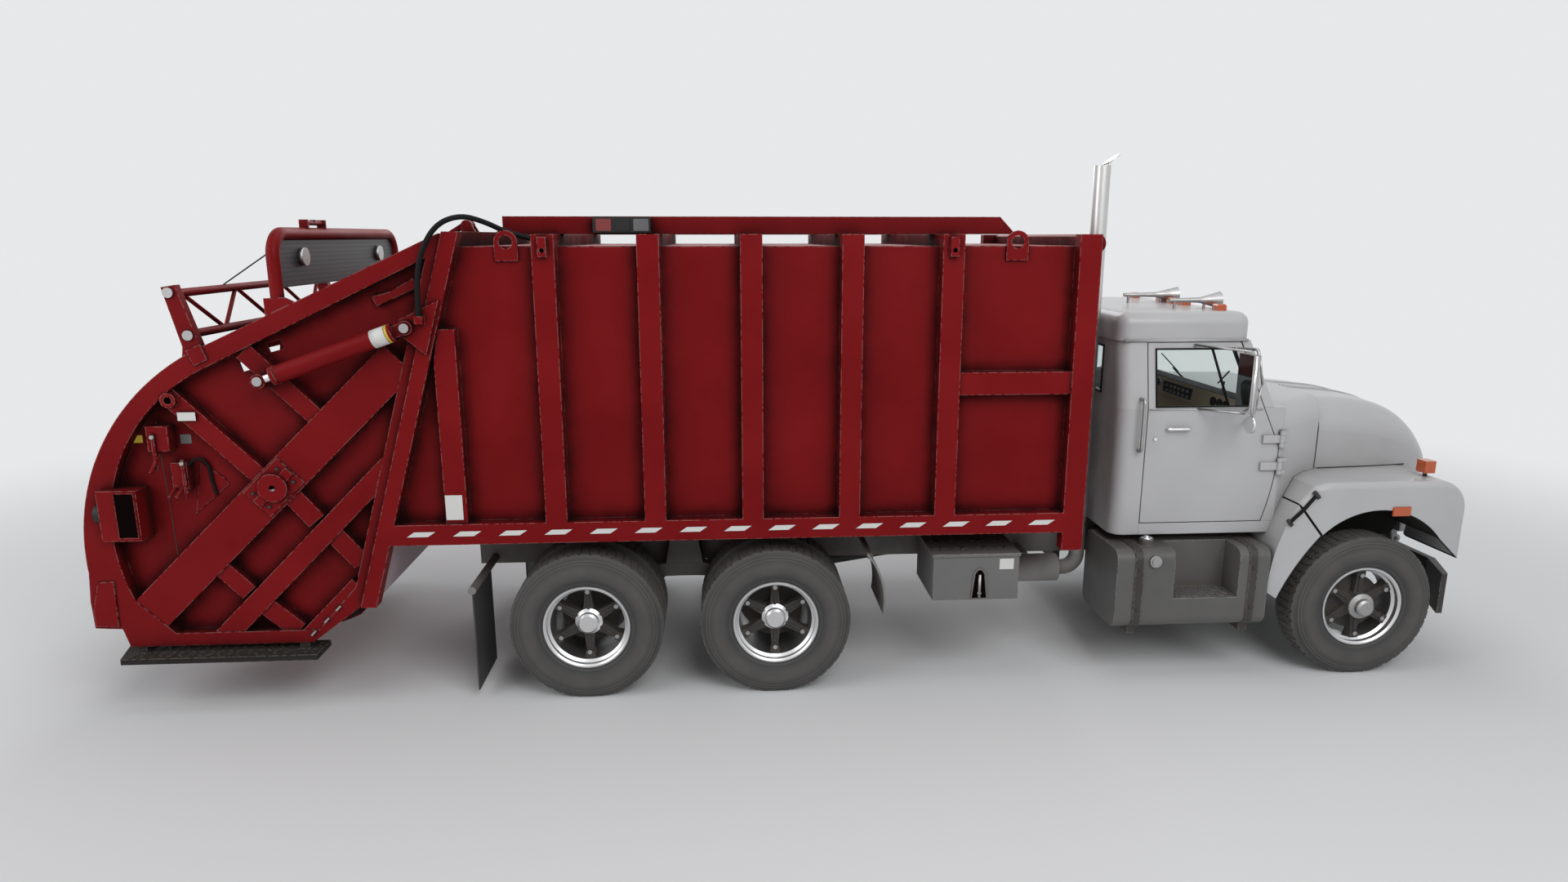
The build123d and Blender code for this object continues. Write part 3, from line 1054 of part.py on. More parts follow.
def side_equipment():
    tank = tank_section(*TANK_X, 0)
    tank -= block(2853, 3329, -TANK_OUTER, -TANK_OUTER + 230, 640, TANK_Z[1])
    tank += rod((2700, -1040, TANK_Z[1] - 5), (2700, -1040, TANK_Z[1] + 45), 48)
    keep("fuel_tanks", *both(tank))
    straps = []
    for x in (2560.0, 3400.0):
        strap = tank_section(x, x + 60, STRAP) - tank_section(x, x + 60, 0)
        foot = block(x, x + 60, -TANK_OUTER + 60, -RAIL_Y, TANK_Z[0] - STRAP - 50, TANK_Z[0] - STRAP)
        foot += block(x, x + 60, -TANK_INNER + STRAP, -RAIL_Y, TANK_Z[0] - STRAP - 50, RAIL_TOP - 60)
        straps += both(strap + foot)
    keep("tank_straps", *straps)
    box = block(*BOX_X, -BOX_Y[1], -BOX_Y[0], *BOX_Z)
    box += block(BOX_X[0] - 8, BOX_X[1] + 8, -BOX_Y[1] - 8, -BOX_Y[0], BOX_Z[1], BOX_Z[1] + 22)
    for x in (BOX_X[0] + 60, BOX_X[1] - 120):
        box += block(x, x + 60, -BOX_Y[0], -RAIL_Y, BOX_Z[1] - 160, BOX_Z[1] - 60)
    keep("battery_box", box)


def exhaust():
    z, y = 700.0, -STACK_Y
    muffler = rod((1790, y, z), (2180, y, z), 105)
    muffler += pipe([(2170, y, z), (STACK_X, y, z), (STACK_X, y, 1100)], STACK_R, 110)
    muffler += block(1900, 1960, y, -RAIL_Y, z + 60, z + 120)
    stack = rod((STACK_X, y, 1100), (STACK_X, y, STACK_TOP), STACK_R)
    stack -= rod((STACK_X, y, STACK_TOP - 300), (STACK_X, y, STACK_TOP + 1), STACK_R - 5)
    for height in (1500.0, 2600.0):
        stack += block(POST_FRONT, STACK_X, y - 20, y + 20, height, height + 40)
    flap = Pos(STACK_X + 60, y, STACK_TOP + 42) * Rot(0, -35, 0) * Cylinder(STACK_R + 8, 6)
    flap += block(STACK_X + 40, STACK_X + 62, y - 12, y + 12, STACK_TOP - 60, STACK_TOP + 40)
    keep("exhaust", muffler + stack + flap)


def mud_flaps():
    x, z = -2090.0, 800.0
    flap = cross_rod(x, z, -1140, -RAIL_Y, 28)
    flap += block(x - 5, x + 5, -1130, -610, 60, z)
    guard = side_plate(-1150, -620, (640.0, 1000.0), ((740.0, 820.0), (760.0, 560.0)), (774.0, 560.0),
                       ((754.0, 824.0), (650.0, 1012.0)))
    guard += cross_rod(672, 975, -1100, -RAIL_Y, 22)
    keep("fenders_and_flaps", *quarter_fenders(), *both(guard), *both(flap))


for make in (wheels, axle_beams, knuckles, springs, frame, drive_line, body_shell, body_sides, rear_frame,
             body_top, hoses, lift_cylinders, gate_shell, packer, gate_fittings, gate_top, cab_shell, cowl,
             doors, cab_inside, cab_outside, bonnet, side_equipment, exhaust, mud_flaps):
    make()

os.makedirs("parts", exist_ok=True)
for name, solids in NODES.items():
    export_step(Compound(solids), f"parts/{name}.step")
print(len(NODES), "nodes")
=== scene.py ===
# %% [markdown]
# # Dressing a rear-loading refuse truck
# The truck comes from CAD as a frame of rigid bodies: chassis, cab, doors, bonnet, tailgate, packer,
# wheels. Blender gives it paint, rubber, glass, padding and the small fittings. Every piece made here
# is in metres, in the frame of the CAD, and rides on one of its bodies, so that it moves with it.

# %% Load the frame
import math

import bmesh
import bpy
from mathutils import Matrix, Vector
from mathutils.bvhtree import BVHTree


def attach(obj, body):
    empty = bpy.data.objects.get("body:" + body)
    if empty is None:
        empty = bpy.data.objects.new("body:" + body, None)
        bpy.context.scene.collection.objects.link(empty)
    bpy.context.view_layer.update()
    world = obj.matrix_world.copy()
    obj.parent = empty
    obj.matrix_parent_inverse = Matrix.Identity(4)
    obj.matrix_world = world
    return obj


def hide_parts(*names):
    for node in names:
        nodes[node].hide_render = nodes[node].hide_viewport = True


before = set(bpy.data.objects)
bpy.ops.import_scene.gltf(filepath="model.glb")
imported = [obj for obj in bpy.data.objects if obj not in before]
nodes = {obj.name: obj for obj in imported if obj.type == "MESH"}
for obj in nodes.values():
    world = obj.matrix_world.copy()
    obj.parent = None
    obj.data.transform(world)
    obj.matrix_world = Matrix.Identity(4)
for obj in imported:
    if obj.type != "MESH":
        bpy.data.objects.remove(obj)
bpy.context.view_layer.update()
scene = bpy.context.scene
scene.view_settings.view_transform = "Standard"
print("CAD nodes:", len(nodes))

# %% [markdown]
# ## The place where it stands
# A studio shot of a vehicle uses one pale floor and large soft lamps. A curved backdrop would hide the
# truck from the other side, so the floor is a plain sheet and the world itself is the pale background:
# camera, mirror and glass rays see that colour, while the light that falls on the truck stays lower.

# %% Floor and world
def principled(name, colour, roughness=0.5, metallic=0.0):
    material = bpy.data.materials.new(name)
    material.use_nodes = True
    shader = material.node_tree.nodes["Principled BSDF"]
    shader.inputs["Base Color"].default_value = (*colour, 1)
    shader.inputs["Roughness"].default_value = roughness
    shader.inputs["Metallic"].default_value = metallic
    return material, shader


def viewing(tree):
    """One for the rays that look: from the camera, off a gloss or through glass."""
    rays = tree.nodes.new("ShaderNodeLightPath")
    total = rays.outputs["Is Camera Ray"]
    for kind in ("Is Glossy Ray", "Is Transmission Ray"):
        either = tree.nodes.new("ShaderNodeMath")
        either.operation = "MAXIMUM"
        tree.links.new(total, either.inputs[0])
        tree.links.new(rays.outputs[kind], either.inputs[1])
        total = either.outputs[0]
    return total


PALE = (0.80, 0.81, 0.82)
floor_mesh = bpy.data.meshes.new("floor")
floor_mesh.from_pydata([(-60, -60, 0), (60, -60, 0), (60, 60, 0), (-60, 60, 0)], [], [(0, 1, 2, 3)])
floor = bpy.data.objects.new("floor", floor_mesh)
scene.collection.objects.link(floor)
floor_finish, floor_shader = principled("pale floor", PALE, 0.9)
floor_mesh.materials.append(floor_finish)

world = bpy.data.worlds.new("studio")
scene.world = world
world.use_nodes = True
sky = world.node_tree
background = sky.nodes["Background"]
background.inputs["Color"].default_value = (0.78, 0.79, 0.81, 1)
background.inputs["Strength"].default_value = 0.32
seen = sky.nodes.new("ShaderNodeBackground")
seen.inputs["Color"].default_value = (*PALE, 1)
seen.inputs["Strength"].default_value = 1.0
mix = sky.nodes.new("ShaderNodeMixShader")
sky.links.new(viewing(sky), mix.inputs[0])
sky.links.new(background.outputs[0], mix.inputs[1])
sky.links.new(seen.outputs[0], mix.inputs[2])
sky.links.new(mix.outputs[0], sky.nodes["World Output"].inputs["Surface"])
print("world ready")

# %% [markdown]
# Far from the truck the floor would grow dark, because the lamps are near it, and a horizon line would
# show. So its material turns, with distance, into the very colour of the world, for viewing rays only.

# %% Floor that fades into the background
tree = floor_finish.node_tree
place = tree.nodes.new("ShaderNodeTexCoord")
far = tree.nodes.new("ShaderNodeVectorMath")
far.operation = "LENGTH"
fade = tree.nodes.new("ShaderNodeMapRange")
fade.interpolation_type = "SMOOTHSTEP"
fade.inputs["From Min"].default_value = 4.5
fade.inputs["From Max"].default_value = 13.0
glow = tree.nodes.new("ShaderNodeEmission")
glow.inputs["Color"].default_value = (*PALE, 1)
share = tree.nodes.new("ShaderNodeMath")
share.operation = "MULTIPLY"
mix = tree.nodes.new("ShaderNodeMixShader")
for source, target in (
        (place.outputs["Object"], far.inputs[0]), (far.outputs["Value"], fade.inputs["Value"]),
        (viewing(tree), share.inputs[0]), (fade.outputs[0], share.inputs[1]),
        (share.outputs[0], mix.inputs[0]), (floor_shader.outputs[0], mix.inputs[1]),
        (glow.outputs[0], mix.inputs[2]), (mix.outputs[0], tree.nodes["Material Output"].inputs["Surface"])):
    tree.links.new(source, target)
print("floor fades out between 4.5 and 13 m")

# %% [markdown]
# ## Camera and lamps
# The photograph looks at the truck's right side from a little above. Its camera was found by matching
# known points: wheel centres, post ends and the cab's corners. Four big area lamps stand for softboxes.

# %% Camera and lamps
camera_data = bpy.data.cameras.new("camera")
camera_data.sensor_width = 36
camera_data.lens = 21.7125
camera = bpy.data.objects.new("camera", camera_data)
camera.location = (-0.6245, -7.402, 3.1826)
camera.rotation_euler = (math.radians(90 - 12.207), 0, math.radians(-3.8135))
scene.collection.objects.link(camera)
scene.camera = camera

SOFTBOXES = (
    ("key softbox", (3.5, -9.0, 8.5), (0.5, 0.0, 1.2), 7.0, 560.0),
    ("fill softbox", (-9.0, -5.0, 5.0), (-1.5, 0.0, 1.5), 6.0, 220.0),
    ("rim softbox", (0.0, 10.0, 7.5), (0.0, 0.0, 1.5), 8.0, 420.0),
    ("top softbox", (0.0, 0.0, 11.0), (0.0, 0.0, 0.0), 8.0, 240.0),
)
# columns: name, place, aim, edge length in metres, power in watts
for name, place, aim, edge, power in SOFTBOXES:
    lamp_data = bpy.data.lights.new(name, "AREA")
    lamp_data.size = edge
    lamp_data.energy = power
    lamp = bpy.data.objects.new(name, lamp_data)
    lamp.location = place
    lamp.rotation_euler = (Vector(aim) - Vector(place)).to_track_quat("-Z", "Y").to_euler()
    scene.collection.objects.link(lamp)
print("camera and", len(SOFTBOXES), "softboxes")

# %% [markdown]
# ## Effects that many finishes share
# Old paint is never one colour: it fades in clouds, its edges rub through to metal, and road dirt climbs
# from below; shade is also painted into corners. One node group makes all of these, and each paint sets its
# own amounts.

# %% Node group: aged paint
def new_group(name, inputs, outputs):
    group = bpy.data.node_groups.new(name, "ShaderNodeTree")
    for label, kind, value in inputs:
        socket = group.interface.new_socket(label, in_out="INPUT", socket_type=kind)
        socket.default_value = value
    for label, kind in outputs:
        group.interface.new_socket(label, in_out="OUTPUT", socket_type=kind)
    return group, group.nodes.new("NodeGroupInput"), group.nodes.new("NodeGroupOutput")


def add(tree, kind, **settings):
    made = tree.nodes.new(kind)
    for key, value in settings.items():
        setattr(made, key, value)
    return made


def maths(tree, operation, a, b=None, clamp=False):
    made = add(tree, "ShaderNodeMath", operation=operation, use_clamp=clamp)
    for place, value in ((0, a), (1, b)):
        if isinstance(value, (int, float)):
            made.inputs[place].default_value = value
        elif value is not None:
            tree.links.new(value, made.inputs[place])
    return made.outputs[0]


def blend_colour(tree, share, a, b):
    made = add(tree, "ShaderNodeMix", data_type="RGBA")
    for place, value in ((0, share), (6, a), (7, b)):
        if isinstance(value, (int, float, tuple)):
            made.inputs[place].default_value = value
        else:
            tree.links.new(value, made.inputs[place])
    return made.outputs[2]


def noise(tree, scale, detail=4.0, vector=None):
    made = add(tree, "ShaderNodeTexNoise")
    made.inputs["Scale"].default_value = scale
    made.inputs["Detail"].default_value = detail
    if vector is not None:
        tree.links.new(vector, made.inputs["Vector"])
    return made.outputs["Fac"]


COLOUR, VALUE, ARROW = "NodeSocketColor", "NodeSocketFloat", "NodeSocketVector"
# The Dirt colour and Dirt Amount serve both road dirt and the shade painted into corners.
aged_and_shaded, given, made = new_group("aged paint and painted shade", (
    ("Paint", COLOUR, (0.5, 0.5, 0.5, 1)), ("Faded", COLOUR, (0.6, 0.6, 0.6, 1)),
    ("Bare Edge", COLOUR, (0.3, 0.3, 0.3, 1)), ("Dirt", COLOUR, (0.1, 0.09, 0.08, 1)),
    ("Edge Amount", VALUE, 0.5), ("Dirt And Shade Amount", VALUE, 0.5), ("Dirt Height", VALUE, 1.0),
    ("Gloss", VALUE, 0.35)), (("Color", COLOUR), ("Roughness", VALUE), ("Normal", ARROW)))
where = add(aged_and_shaded, "ShaderNodeTexCoord").outputs["Object"]
clouds = maths(aged_and_shaded, "MULTIPLY_ADD", noise(aged_and_shaded, 2.2, 6.0, where), 2.2)
clouds.node.inputs[2].default_value = -0.65
clouds.node.use_clamp = True
worn = blend_colour(aged_and_shaded, clouds, given.outputs["Paint"], given.outputs["Faded"])
bevel = add(aged_and_shaded, "ShaderNodeBevel", samples=6)
bevel.inputs["Radius"].default_value = 0.010
true_normal = add(aged_and_shaded, "ShaderNodeNewGeometry").outputs["Normal"]
turned = add(aged_and_shaded, "ShaderNodeVectorMath", operation="DOT_PRODUCT")
aged_and_shaded.links.new(bevel.outputs["Normal"], turned.inputs[0])
aged_and_shaded.links.new(true_normal, turned.inputs[1])
edge = maths(aged_and_shaded, "SUBTRACT", 1.0, turned.outputs["Value"])
patches = maths(aged_and_shaded, "GREATER_THAN", noise(aged_and_shaded, 38.0, 5.0, where), 0.47)
edge = maths(aged_and_shaded, "MULTIPLY", maths(aged_and_shaded, "MULTIPLY", edge, 9.0, True), patches)
edge = maths(aged_and_shaded, "MULTIPLY", edge, given.outputs["Edge Amount"], True)
worn = blend_colour(aged_and_shaded, edge, worn, given.outputs["Bare Edge"])
aged_and_shaded.links.new(bevel.outputs["Normal"], made.inputs["Normal"])
print("clouds and rubbed edges in", len(aged_and_shaded.nodes), "nodes")

# %% [markdown]
# Dirt gathers as a film that thins out with height, and shade is painted into the corners. Two reaches of the
# occlusion node find the corners, a short one for a painted dark line of shade at a weld and a long one for
# the painted soft shade that fills a framed panel from its edges.

# %% Node group: dirt and painted corner shade on aged paint
height = add(aged_and_shaded, "ShaderNodeSeparateXYZ")
aged_and_shaded.links.new(where, height.inputs[0])
low = maths(aged_and_shaded, "DIVIDE", height.outputs["Z"], given.outputs["Dirt Height"])
low = maths(aged_and_shaded, "SUBTRACT", 1.0, low, True)


def shut_in(reach):
    corner = add(aged_and_shaded, "ShaderNodeAmbientOcclusion", samples=6)
    corner.inputs["Distance"].default_value = reach
    return maths(aged_and_shaded, "SUBTRACT", 1.0, corner.outputs["AO"], True)


# Painted shade: the short reach darkens a thin line where parts meet, and the long reach lays a soft shade
# over a framed panel from its edges.
line = maths(aged_and_shaded, "MULTIPLY", shut_in(0.10), 0.9)
shade = maths(aged_and_shaded, "MULTIPLY", shut_in(0.45), 1.1)
corners = maths(aged_and_shaded, "ADD", line, shade)
# The dirt film from below and the painted corner shade make one mask.
dirt_and_corner_shade = maths(aged_and_shaded, "ADD", maths(aged_and_shaded, "MULTIPLY", low, 0.55), corners)
dirt_and_corner_shade = maths(aged_and_shaded, "MULTIPLY", dirt_and_corner_shade, maths(aged_and_shaded, "ADD", noise(aged_and_shaded, 7.0, 6.0, where), 0.3))
dirt_and_corner_shade = maths(aged_and_shaded, "MULTIPLY", dirt_and_corner_shade, given.outputs["Dirt And Shade Amount"], True)
aged_and_shaded.links.new(blend_colour(aged_and_shaded, dirt_and_corner_shade, worn, given.outputs["Dirt"]), made.inputs["Color"])
rough = maths(aged_and_shaded, "ADD", given.outputs["Gloss"], maths(aged_and_shaded, "MULTIPLY", dirt_and_corner_shade, 0.45))
rough = maths(aged_and_shaded, "ADD", rough, maths(aged_and_shaded, "MULTIPLY", clouds, 0.12), True)
aged_and_shaded.links.new(rough, made.inputs["Roughness"])
print("group", aged_and_shaded.name, "with", len(aged_and_shaded.nodes), "nodes")


# %% Painted finishes
# Each finish sets its amount of dirt and of painted corner shade together.
def aged_and_shaded_finish(name, paint, faded, bare, dirt_and_shade_colour, edge, dirt_and_corner_shade, dust_height, gloss, specular=0.3, coat=0.0):
    material, shader = principled(name, paint, gloss)
    tree = material.node_tree
    aging_and_shade = add(tree, "ShaderNodeGroup", node_tree=aged_and_shaded)
    for label, value in (("Paint", (*paint, 1)), ("Faded", (*faded, 1)), ("Bare Edge", (*bare, 1)),
                         ("Dirt", (*dirt_and_shade_colour, 1)), ("Edge Amount", edge), ("Dirt And Shade Amount", dirt_and_corner_shade),
                         ("Dirt Height", dust_height), ("Gloss", gloss)):
        aging_and_shade.inputs[label].default_value = value
    tree.links.new(aging_and_shade.outputs["Color"], shader.inputs["Base Color"])
    tree.links.new(aging_and_shade.outputs["Roughness"], shader.inputs["Roughness"])
    tree.links.new(aging_and_shade.outputs["Normal"], shader.inputs["Normal"])
    shader.inputs["Specular IOR Level"].default_value = specular
    shader.inputs["Coat Weight"].default_value = coat
    shader.inputs["Coat Roughness"].default_value = 0.12
    return material


# The two dirt colours also colour the painted corner shade: red-black on the red body, brown on the rest.
SOOT_AND_SHADE, MUD_AND_SHADE = (0.013, 0.0022, 0.0022), (0.10, 0.085, 0.07)
RED = aged_and_shaded_finish("refuse body red", (0.178, 0.0035, 0.0055), (0.225, 0.007, 0.009), (0.42, 0.20, 0.18), SOOT_AND_SHADE,
                  0.8, 1.0, 0.7, 0.40, 0.10)
WHITE = aged_and_shaded_finish("cab white", (0.49, 0.49, 0.50), (0.53, 0.53, 0.535), (0.40, 0.39, 0.38),
                    (0.15, 0.14, 0.13), 0.15, 0.40, 0.8, 0.30, coat=0.35)
GREY = aged_and_shaded_finish("box grey", (0.155, 0.155, 0.152), (0.185, 0.183, 0.18), (0.36, 0.35, 0.34), MUD_AND_SHADE,
                   0.6, 0.6, 0.8, 0.42)
TANK_GREY = aged_and_shaded_finish("tank grey", (0.112, 0.110, 0.107), (0.136, 0.133, 0.130), (0.34, 0.33, 0.32), MUD_AND_SHADE,
                        0.8, 0.5, 0.8, 0.36)
BUMPER = aged_and_shaded_finish("bumper paint", (0.042, 0.036, 0.036), (0.060, 0.054, 0.053), (0.30, 0.28, 0.27), MUD_AND_SHADE,
                     0.8, 0.5, 0.8, 0.40)
# Frame grey is the frame's own grey, made lighter as painted light where the frame lies in shade.
FRAME_GREY = aged_and_shaded_finish("frame grey", (0.24, 0.235, 0.23), (0.29, 0.285, 0.28), (0.22, 0.21, 0.20), MUD_AND_SHADE,
                         0.3, 0.9, 1.2, 0.55)
# The sill wall's pinkish grey is its bare steel, made lighter as painted light, as if lit from below.
SILL_PAINTED_LIGHT = aged_and_shaded_finish("sill steel with painted light", (0.60, 0.47, 0.51), (0.66, 0.53, 0.56), (0.5, 0.45, 0.45), MUD_AND_SHADE,
                      0.4, 0.3, 0.5, 0.5)
CAST = aged_and_shaded_finish("cast black", (0.030, 0.030, 0.032), (0.045, 0.044, 0.044), (0.12, 0.11, 0.10), MUD_AND_SHADE,
                   0.3, 0.5, 0.8, 0.45)
STEP_BLACK = aged_and_shaded_finish("step black", (0.018, 0.016, 0.015), (0.028, 0.025, 0.024), (0.18, 0.17, 0.16), MUD_AND_SHADE,
                         0.8, 0.3, 0.7, 0.5, 0.10)
UNDER = aged_and_shaded_finish("underside", (0.022, 0.021, 0.021), (0.032, 0.03, 0.03), (0.05, 0.05, 0.05), MUD_AND_SHADE,
                    0.1, 0.4, 0.8, 0.7, 0.1)
# A near-black sheet without gloss is painted shade inside openings and recesses.
SHADE_SHEET, shade_sheet_shader = principled("painted shade in openings", (0.006, 0.003, 0.003), 0.9)
shade_sheet_shader.inputs["Specular IOR Level"].default_value = 0.0
print("painted finishes ready")

# %% [markdown]
# ## Metal, rubber, glass and lenses
# Polished rims and the exhaust are metal that shows the studio, broken by fine scratches in the roughness.
# Tyres are dull and a little brown with road dust. Lenses are coloured plastic with a clear coat, so no
# light has to pass through them, which keeps the export simple. Only the panes of the cab let light through.

# %% Node group: road film
film, given, made = new_group("road film", (
    ("Clean", COLOUR, (0.7, 0.7, 0.7, 1)), ("Film", COLOUR, (0.2, 0.18, 0.15, 1)),
    ("Amount", VALUE, 0.3), ("Scale", VALUE, 20.0), ("Base Roughness", VALUE, 0.2),
    ("Roughness Spread", VALUE, 0.2)), (("Color", COLOUR), ("Roughness", VALUE)))
where = add(film, "ShaderNodeTexCoord").outputs["Object"]
grain = add(film, "ShaderNodeTexNoise")
grain.inputs["Detail"].default_value = 6.0
film.links.new(where, grain.inputs["Vector"])
film.links.new(given.outputs["Scale"], grain.inputs["Scale"])
share = maths(film, "MULTIPLY", grain.outputs["Fac"], given.outputs["Amount"], True)
film.links.new(blend_colour(film, share, given.outputs["Clean"], given.outputs["Film"]), made.inputs["Color"])
spread = maths(film, "MULTIPLY", grain.outputs["Fac"], given.outputs["Roughness Spread"])
film.links.new(maths(film, "ADD", spread, given.outputs["Base Roughness"], True), made.inputs["Roughness"])
print("group", film.name)


# %% Metals, rubber and plastics
def filmed_finish(name, clean, over, amount, scale, roughness, spread, metallic=0.0, specular=0.25):
    material, shader = principled(name, clean, roughness, metallic)
    tree = material.node_tree
    cover = add(tree, "ShaderNodeGroup", node_tree=film)
    for label, value in (("Clean", (*clean, 1)), ("Film", (*over, 1)), ("Amount", amount), ("Scale", scale),
                         ("Base Roughness", roughness), ("Roughness Spread", spread)):
        cover.inputs[label].default_value = value
    tree.links.new(cover.outputs["Color"], shader.inputs["Base Color"])
    tree.links.new(cover.outputs["Roughness"], shader.inputs["Roughness"])
    shader.inputs["Specular IOR Level"].default_value = specular
    return material


POLISHED = filmed_finish("polished rim", (0.74, 0.74, 0.75), (0.50, 0.49, 0.47), 0.4, 24.0, 0.24, 0.2, 1.0)
STEEL = filmed_finish("dull steel", (0.46, 0.46, 0.465), (0.24, 0.22, 0.20), 0.6, 14.0, 0.32, 0.25, 1.0)
STACK = filmed_finish("stack steel", (0.66, 0.655, 0.65), (0.40, 0.38, 0.36), 0.5, 6.0, 0.24, 0.2, 1.0)
CHROME = filmed_finish("chrome", (0.85, 0.85, 0.86), (0.6, 0.6, 0.6), 0.2, 30.0, 0.06, 0.1, 1.0)
# The tread's grey is partly road film and wear, and partly painted light.
TREAD = filmed_finish("tread rubber", (0.065, 0.063, 0.061), (0.165, 0.155, 0.145), 0.9, 12.0, 0.7, 0.2)
RUBBER = filmed_finish("black rubber", (0.006, 0.006, 0.007), (0.02, 0.019, 0.018), 0.5, 16.0, 0.42, 0.25,
                       specular=0.10)
FLAP = filmed_finish("mud flap rubber", (0.050, 0.052, 0.056), (0.11, 0.105, 0.10), 0.7, 5.0, 0.55, 0.25)
PLASTIC = filmed_finish("black plastic", (0.018, 0.018, 0.019), (0.04, 0.04, 0.04), 0.4, 22.0, 0.38, 0.2)
# The tan is made lighter as painted light, where the dash lies in the cab's shade.
TAN = filmed_finish("tan dash", (0.58, 0.45, 0.31), (0.40, 0.30, 0.20), 0.5, 18.0, 0.5, 0.2)
VINYL = filmed_finish("seat vinyl", (0.028, 0.027, 0.028), (0.055, 0.052, 0.05), 0.5, 40.0, 0.42, 0.2)
MIRROR = principled("mirror glass", (0.88, 0.89, 0.9), 0.02, 1.0)[0]
WHITE_TAPE = principled("white tape", (0.72, 0.72, 0.70), 0.45)[0]
YELLOW_TAPE = principled("yellow tape", (0.62, 0.45, 0.04), 0.45)[0]


def lens(name, colour):
    material, shader = principled(name, colour, 0.18)
    shader.inputs["Coat Weight"].default_value = 0.6
    shader.inputs["Coat Roughness"].default_value = 0.04
    return material


LENSES = (("orange lens", (0.52, 0.085, 0.012)), ("red lens", (0.22, 0.010, 0.008)),
          ("clear lens", (0.60, 0.62, 0.63)), ("smoked lens", (0.12, 0.125, 0.13)))
ORANGE, RED_LENS, CLEAR_LENS, SMOKED = [lens(name, colour) for name, colour in LENSES]
GLASS, glass_shader = principled("window glass", (0.86, 0.90, 0.89), 0.02)
glass_shader.inputs["Transmission Weight"].default_value = 1.0
glass_shader.inputs["IOR"].default_value = 1.1
print("metals, rubbers, lenses and glass ready")

# %% [markdown]
# ## Tyre walls
# A used tyre is not evenly black: dust lies in rings, light on the ribs that rub the kerb and dark at the
# bead. A group measures the distance from the axle, reads rings from a ramp, and lifts them as ribs.

# %% Node group: tyre wall
AXLE_Z = 0.525
wall, given, made = new_group("tyre wall", (
    ("Axle X", VALUE, 0.0), ("Rubber", COLOUR, (0.03, 0.03, 0.03, 1)),
    ("Dust", COLOUR, (0.12, 0.11, 0.1, 1))), (("Color", COLOUR), ("Roughness", VALUE), ("Normal", ARROW)))
where = add(wall, "ShaderNodeTexCoord").outputs["Object"]
spot = add(wall, "ShaderNodeSeparateXYZ")
wall.links.new(where, spot.inputs[0])
along = maths(wall, "SUBTRACT", spot.outputs["X"], given.outputs["Axle X"])
up = maths(wall, "SUBTRACT", spot.outputs["Z"], AXLE_Z)
square = maths(wall, "ADD", maths(wall, "MULTIPLY", along, along), maths(wall, "MULTIPLY", up, up))
radius = maths(wall, "SQRT", square)
ramp = add(wall, "ShaderNodeValToRGB")
wall.links.new(maths(wall, "DIVIDE", maths(wall, "SUBTRACT", radius, 0.29), 0.24), ramp.inputs[0])
RINGS = ((0.00, 0.05), (0.10, 0.20), (0.13, 0.60), (0.17, 0.12), (0.34, 0.60), (0.56, 0.80),
         (0.72, 0.40), (0.76, 0.95), (0.79, 0.15), (0.83, 0.90), (0.87, 0.20), (1.00, 0.95))
# columns: place between bead and crown, share of dust
stops = ramp.color_ramp.elements
for k, (place, share) in enumerate(RINGS):
    stop = stops[k] if k < 2 else stops.new(place)
    stop.position = place
    stop.color = (share, share, share, 1)
patchy = maths(wall, "ADD", noise(wall, 6.0, 6.0, where), 0.35)
share = maths(wall, "MULTIPLY", ramp.outputs["Color"], patchy, True)
dusty = blend_colour(wall, share, given.outputs["Rubber"], given.outputs["Dust"])
wall.links.new(dusty, made.inputs["Color"])
wall.links.new(maths(wall, "MULTIPLY_ADD", share, 0.25), made.inputs["Roughness"])
made.inputs["Roughness"].links[0].from_node.inputs[2].default_value = 0.55
ribs = add(wall, "ShaderNodeBump")
ribs.inputs["Strength"].default_value = 0.8
ribs.inputs["Distance"].default_value = 0.006
wall.links.new(ramp.outputs["Color"], ribs.inputs["Height"])
wall.links.new(ribs.outputs["Normal"], made.inputs["Normal"])


def tyre_finish(name, axle_x):
    material, shader = principled(name, (0.03, 0.03, 0.03), 0.6)
    tree = material.node_tree
    rings = add(tree, "ShaderNodeGroup", node_tree=wall)
    rings.inputs["Axle X"].default_value = axle_x
    rings.inputs["Rubber"].default_value = (0.024, 0.024, 0.025, 1)
    rings.inputs["Dust"].default_value = (0.115, 0.108, 0.102, 1)
    for label, target in (("Color", "Base Color"), ("Roughness", "Roughness"), ("Normal", "Normal")):
        tree.links.new(rings.outputs[label], shader.inputs[target])
    return material


print("group", wall.name, "with", len(RINGS), "rings")

# %% [markdown]
# ## Punched sheet
# The guard behind the hoop is a steel sheet full of punched holes. Cutting thousands of holes would cost
# far more than it shows, so a group draws rows of dots of painted shade, set off by half a pitch, from the
# position.

# %% Node group: punched holes
punched, given, made = new_group("punched holes", (
    ("Sheet", COLOUR, (0.2, 0.2, 0.2, 1)), ("Hole", COLOUR, (0.01, 0.01, 0.01, 1)), ("Pitch", VALUE, 0.03)),
    (("Color", COLOUR),))
parts = add(punched, "ShaderNodeSeparateXYZ")
punched.links.new(add(punched, "ShaderNodeTexCoord").outputs["Object"], parts.inputs[0])
row = maths(punched, "DIVIDE", parts.outputs["Z"], given.outputs["Pitch"])
shift = maths(punched, "MULTIPLY", maths(punched, "MODULO", maths(punched, "FLOOR", row), 2.0), 0.5)
column = maths(punched, "ADD", maths(punched, "DIVIDE", parts.outputs["Y"], given.outputs["Pitch"]), shift)
across = maths(punched, "SUBTRACT", maths(punched, "FRACT", column), 0.5)
up = maths(punched, "SUBTRACT", maths(punched, "FRACT", row), 0.5)
